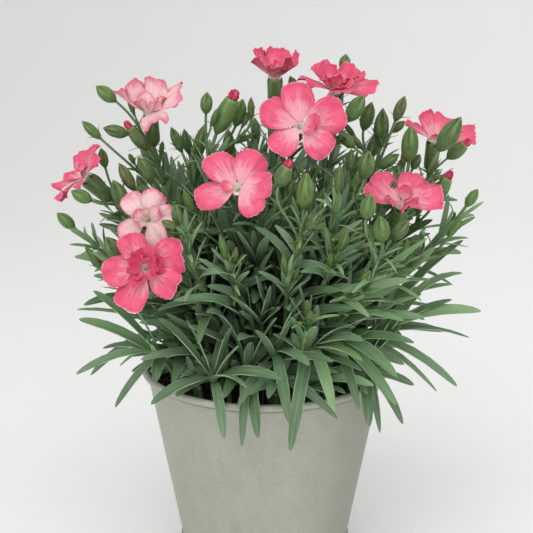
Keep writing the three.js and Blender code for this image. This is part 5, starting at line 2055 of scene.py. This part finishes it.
class MakePetalTips(bpy.types.Operator):
    """Model the rolled petals that show in opening buds"""

    bl_idname = "dianthus.petal_tips"
    bl_label = "Rolled petal tips"

    def execute(self, context):
        look = context.scene.dianthus_bloom
        colours = (look.tip, look.coral_deep, look.heart, look.rim)
        finish = petal_finish("rolled petal", *colours, veins=0.5, reach=0.3, edge=0.4)
        pattern = tip_pattern()
        for plant in growth()[0]:
            opening = [bud for bud in plant.buds if bud.is_open]
            for order, bud in enumerate(opening):
                node = plant.name.replace("stem", "bud_tip") + (f"_{order + 1}" if order else "")
                mouth = MOUTH_SHARE * bud.length
                foot = bud.foot + bud.axis * mouth
                length = bud.length + TIP_OUT - mouth
                points = lay_round(pattern, foot, bud.axis, length, TIP_RADIUS * bud.radius, 2 * order)
                patch = Patch()
                patch.add(pattern, points, PETAL, 0.3 + 0.2 * order)
                piece = patch.piece(node.replace("bud_tip", "petal_tip"), [finish])
                hand_over(piece, "petal_coral", node, angle=70)
        return {"FINISHED"}


# The seamless backdrop, in metres: the floor's side and how far its middle is in front, and the wall's height
# and bend
FLOOR_SIDE = 5
FLOOR_MIDDLE = -0.9
WALL_HEIGHT = 2.6
WALL_BEND = 0.9


def area_light(name, spot, aim, width, power):
    """A square light at a spot, which shines towards its aim."""
    bpy.ops.object.light_add(type="AREA", location=spot)
    light = bpy.context.object
    light.name = name
    way = np.array(aim) - np.array(spot)
    light.rotation_euler = (math.acos(-way[2] / np.linalg.norm(way)), 0, math.atan2(-way[0], way[1]))
    light.data.size = width
    light.data.energy = power


class MakeStage(bpy.types.Operator):
    """Lay the seamless backdrop, set the soft lights and aim the camera"""

    bl_idname = "dianthus.stage"
    bl_label = "Stage"

    def execute(self, context):
        look = context.scene.dianthus_stage
        bench = Bench(bpy.ops.mesh.primitive_plane_add, size=FLOOR_SIDE, location=(0, FLOOR_MIDDLE, 0))
        bench.pick(lambda co: co.y > FLOOR_MIDDLE)
        bench.pull(0, 0, WALL_HEIGHT)
        bench.pick(lambda co: co.y > FLOOR_MIDDLE and co.z < WALL_HEIGHT / 2)
        bpy.ops.mesh.bevel(offset=WALL_BEND, segments=24, affect="EDGES")
        bpy.ops.object.mode_set(mode="OBJECT")
        sweep = bench.piece
        sweep.name = "backdrop"
        finish = Finish("matt paper", Roughness=0.9)
        aside, back, _ = finish.parts(finish.spot())
        light = aside * 1.1 - back * 0.8
        sweep.data.materials.append(finish.paint(look.backdrop_far, [(light.ramp(-1.9, 0.5), look.backdrop)]))
        bpy.ops.object.shade_smooth()
        sweep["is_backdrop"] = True
        area_light("key", (-0.4, -1.4, 1.7), (0, -0.1, 0.1), 2.2, look.key)
        area_light("fill", (1.3, -0.8, 0.9), (0, 0, 0.12), 1.3, look.fill)
        world = context.scene.world or bpy.data.worlds.new("Sky")
        context.scene.world = world
        world.use_nodes = True
        ground = world.node_tree.nodes["Background"]
        ground.inputs[0].default_value = (1, 1, 1, 1)
        ground.inputs[1].default_value = look.sky
        bpy.ops.object.camera_add(location=EYE * METRE, rotation=(math.pi / 2 - EYE_PITCH, 0, 0))
        camera = context.object
        camera.name = "camera"
        camera.data.sensor_width = SENSOR
        camera.data.lens = SENSOR * FOCAL_PIXELS / PICTURE_SIDE
        camera.data.shift_x = (PICTURE_SIDE / 2 - AXIS_PIXEL[0]) / PICTURE_SIDE
        camera.data.clip_start = 0.01
        context.scene.camera = camera
        context.scene.view_settings.view_transform = "Standard"
        return {"FINISHED"}


STEPS = ("pot", "compost", "stems", "shoots", "foliage", "blooms", "petal_tips", "stage")


class DianthusPanel(bpy.types.Panel):
    """Steps that model the potted dianthus"""

    bl_idname = "VIEW3D_PT_dianthus"
    bl_label = "Dianthus"
    bl_space_type = "VIEW_3D"
    bl_region_type = "UI"
    bl_category = "Dianthus"

    def draw(self, context):
        for step in STEPS:
            self.layout.operator(f"dianthus.{step}")


LOOKS = {
    "dianthus_pot": PotLook,
    "dianthus_foliage": FoliageLook,
    "dianthus_bloom": BloomLook,
    "dianthus_stage": StageLook,
}
CLASSES = (
    *LOOKS.values(),
    MakePot,
    MakeCompost,
    MakeStems,
    MakeShoots,
    MakeFoliage,
    MakeBlooms,
    MakePetalTips,
    MakeStage,
    DianthusPanel,
)


def register():
    for each in CLASSES:
        bpy.utils.register_class(each)
    for name, look in LOOKS.items():
        setattr(bpy.types.Scene, name, bpy.props.PointerProperty(type=look))


def unregister():
    for name in LOOKS:
        delattr(bpy.types.Scene, name)
    for each in reversed(CLASSES):
        bpy.utils.unregister_class(each)


def main():
    register()
    for step in STEPS:
        getattr(bpy.ops.dianthus, step)()
    boxes = {"cad": CAD_BOX, "scene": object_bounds()}
    {name: [[float(n) for n in corner] for corner in box] for name, box in boxes.items()}


if __name__ == "__main__":
    main()
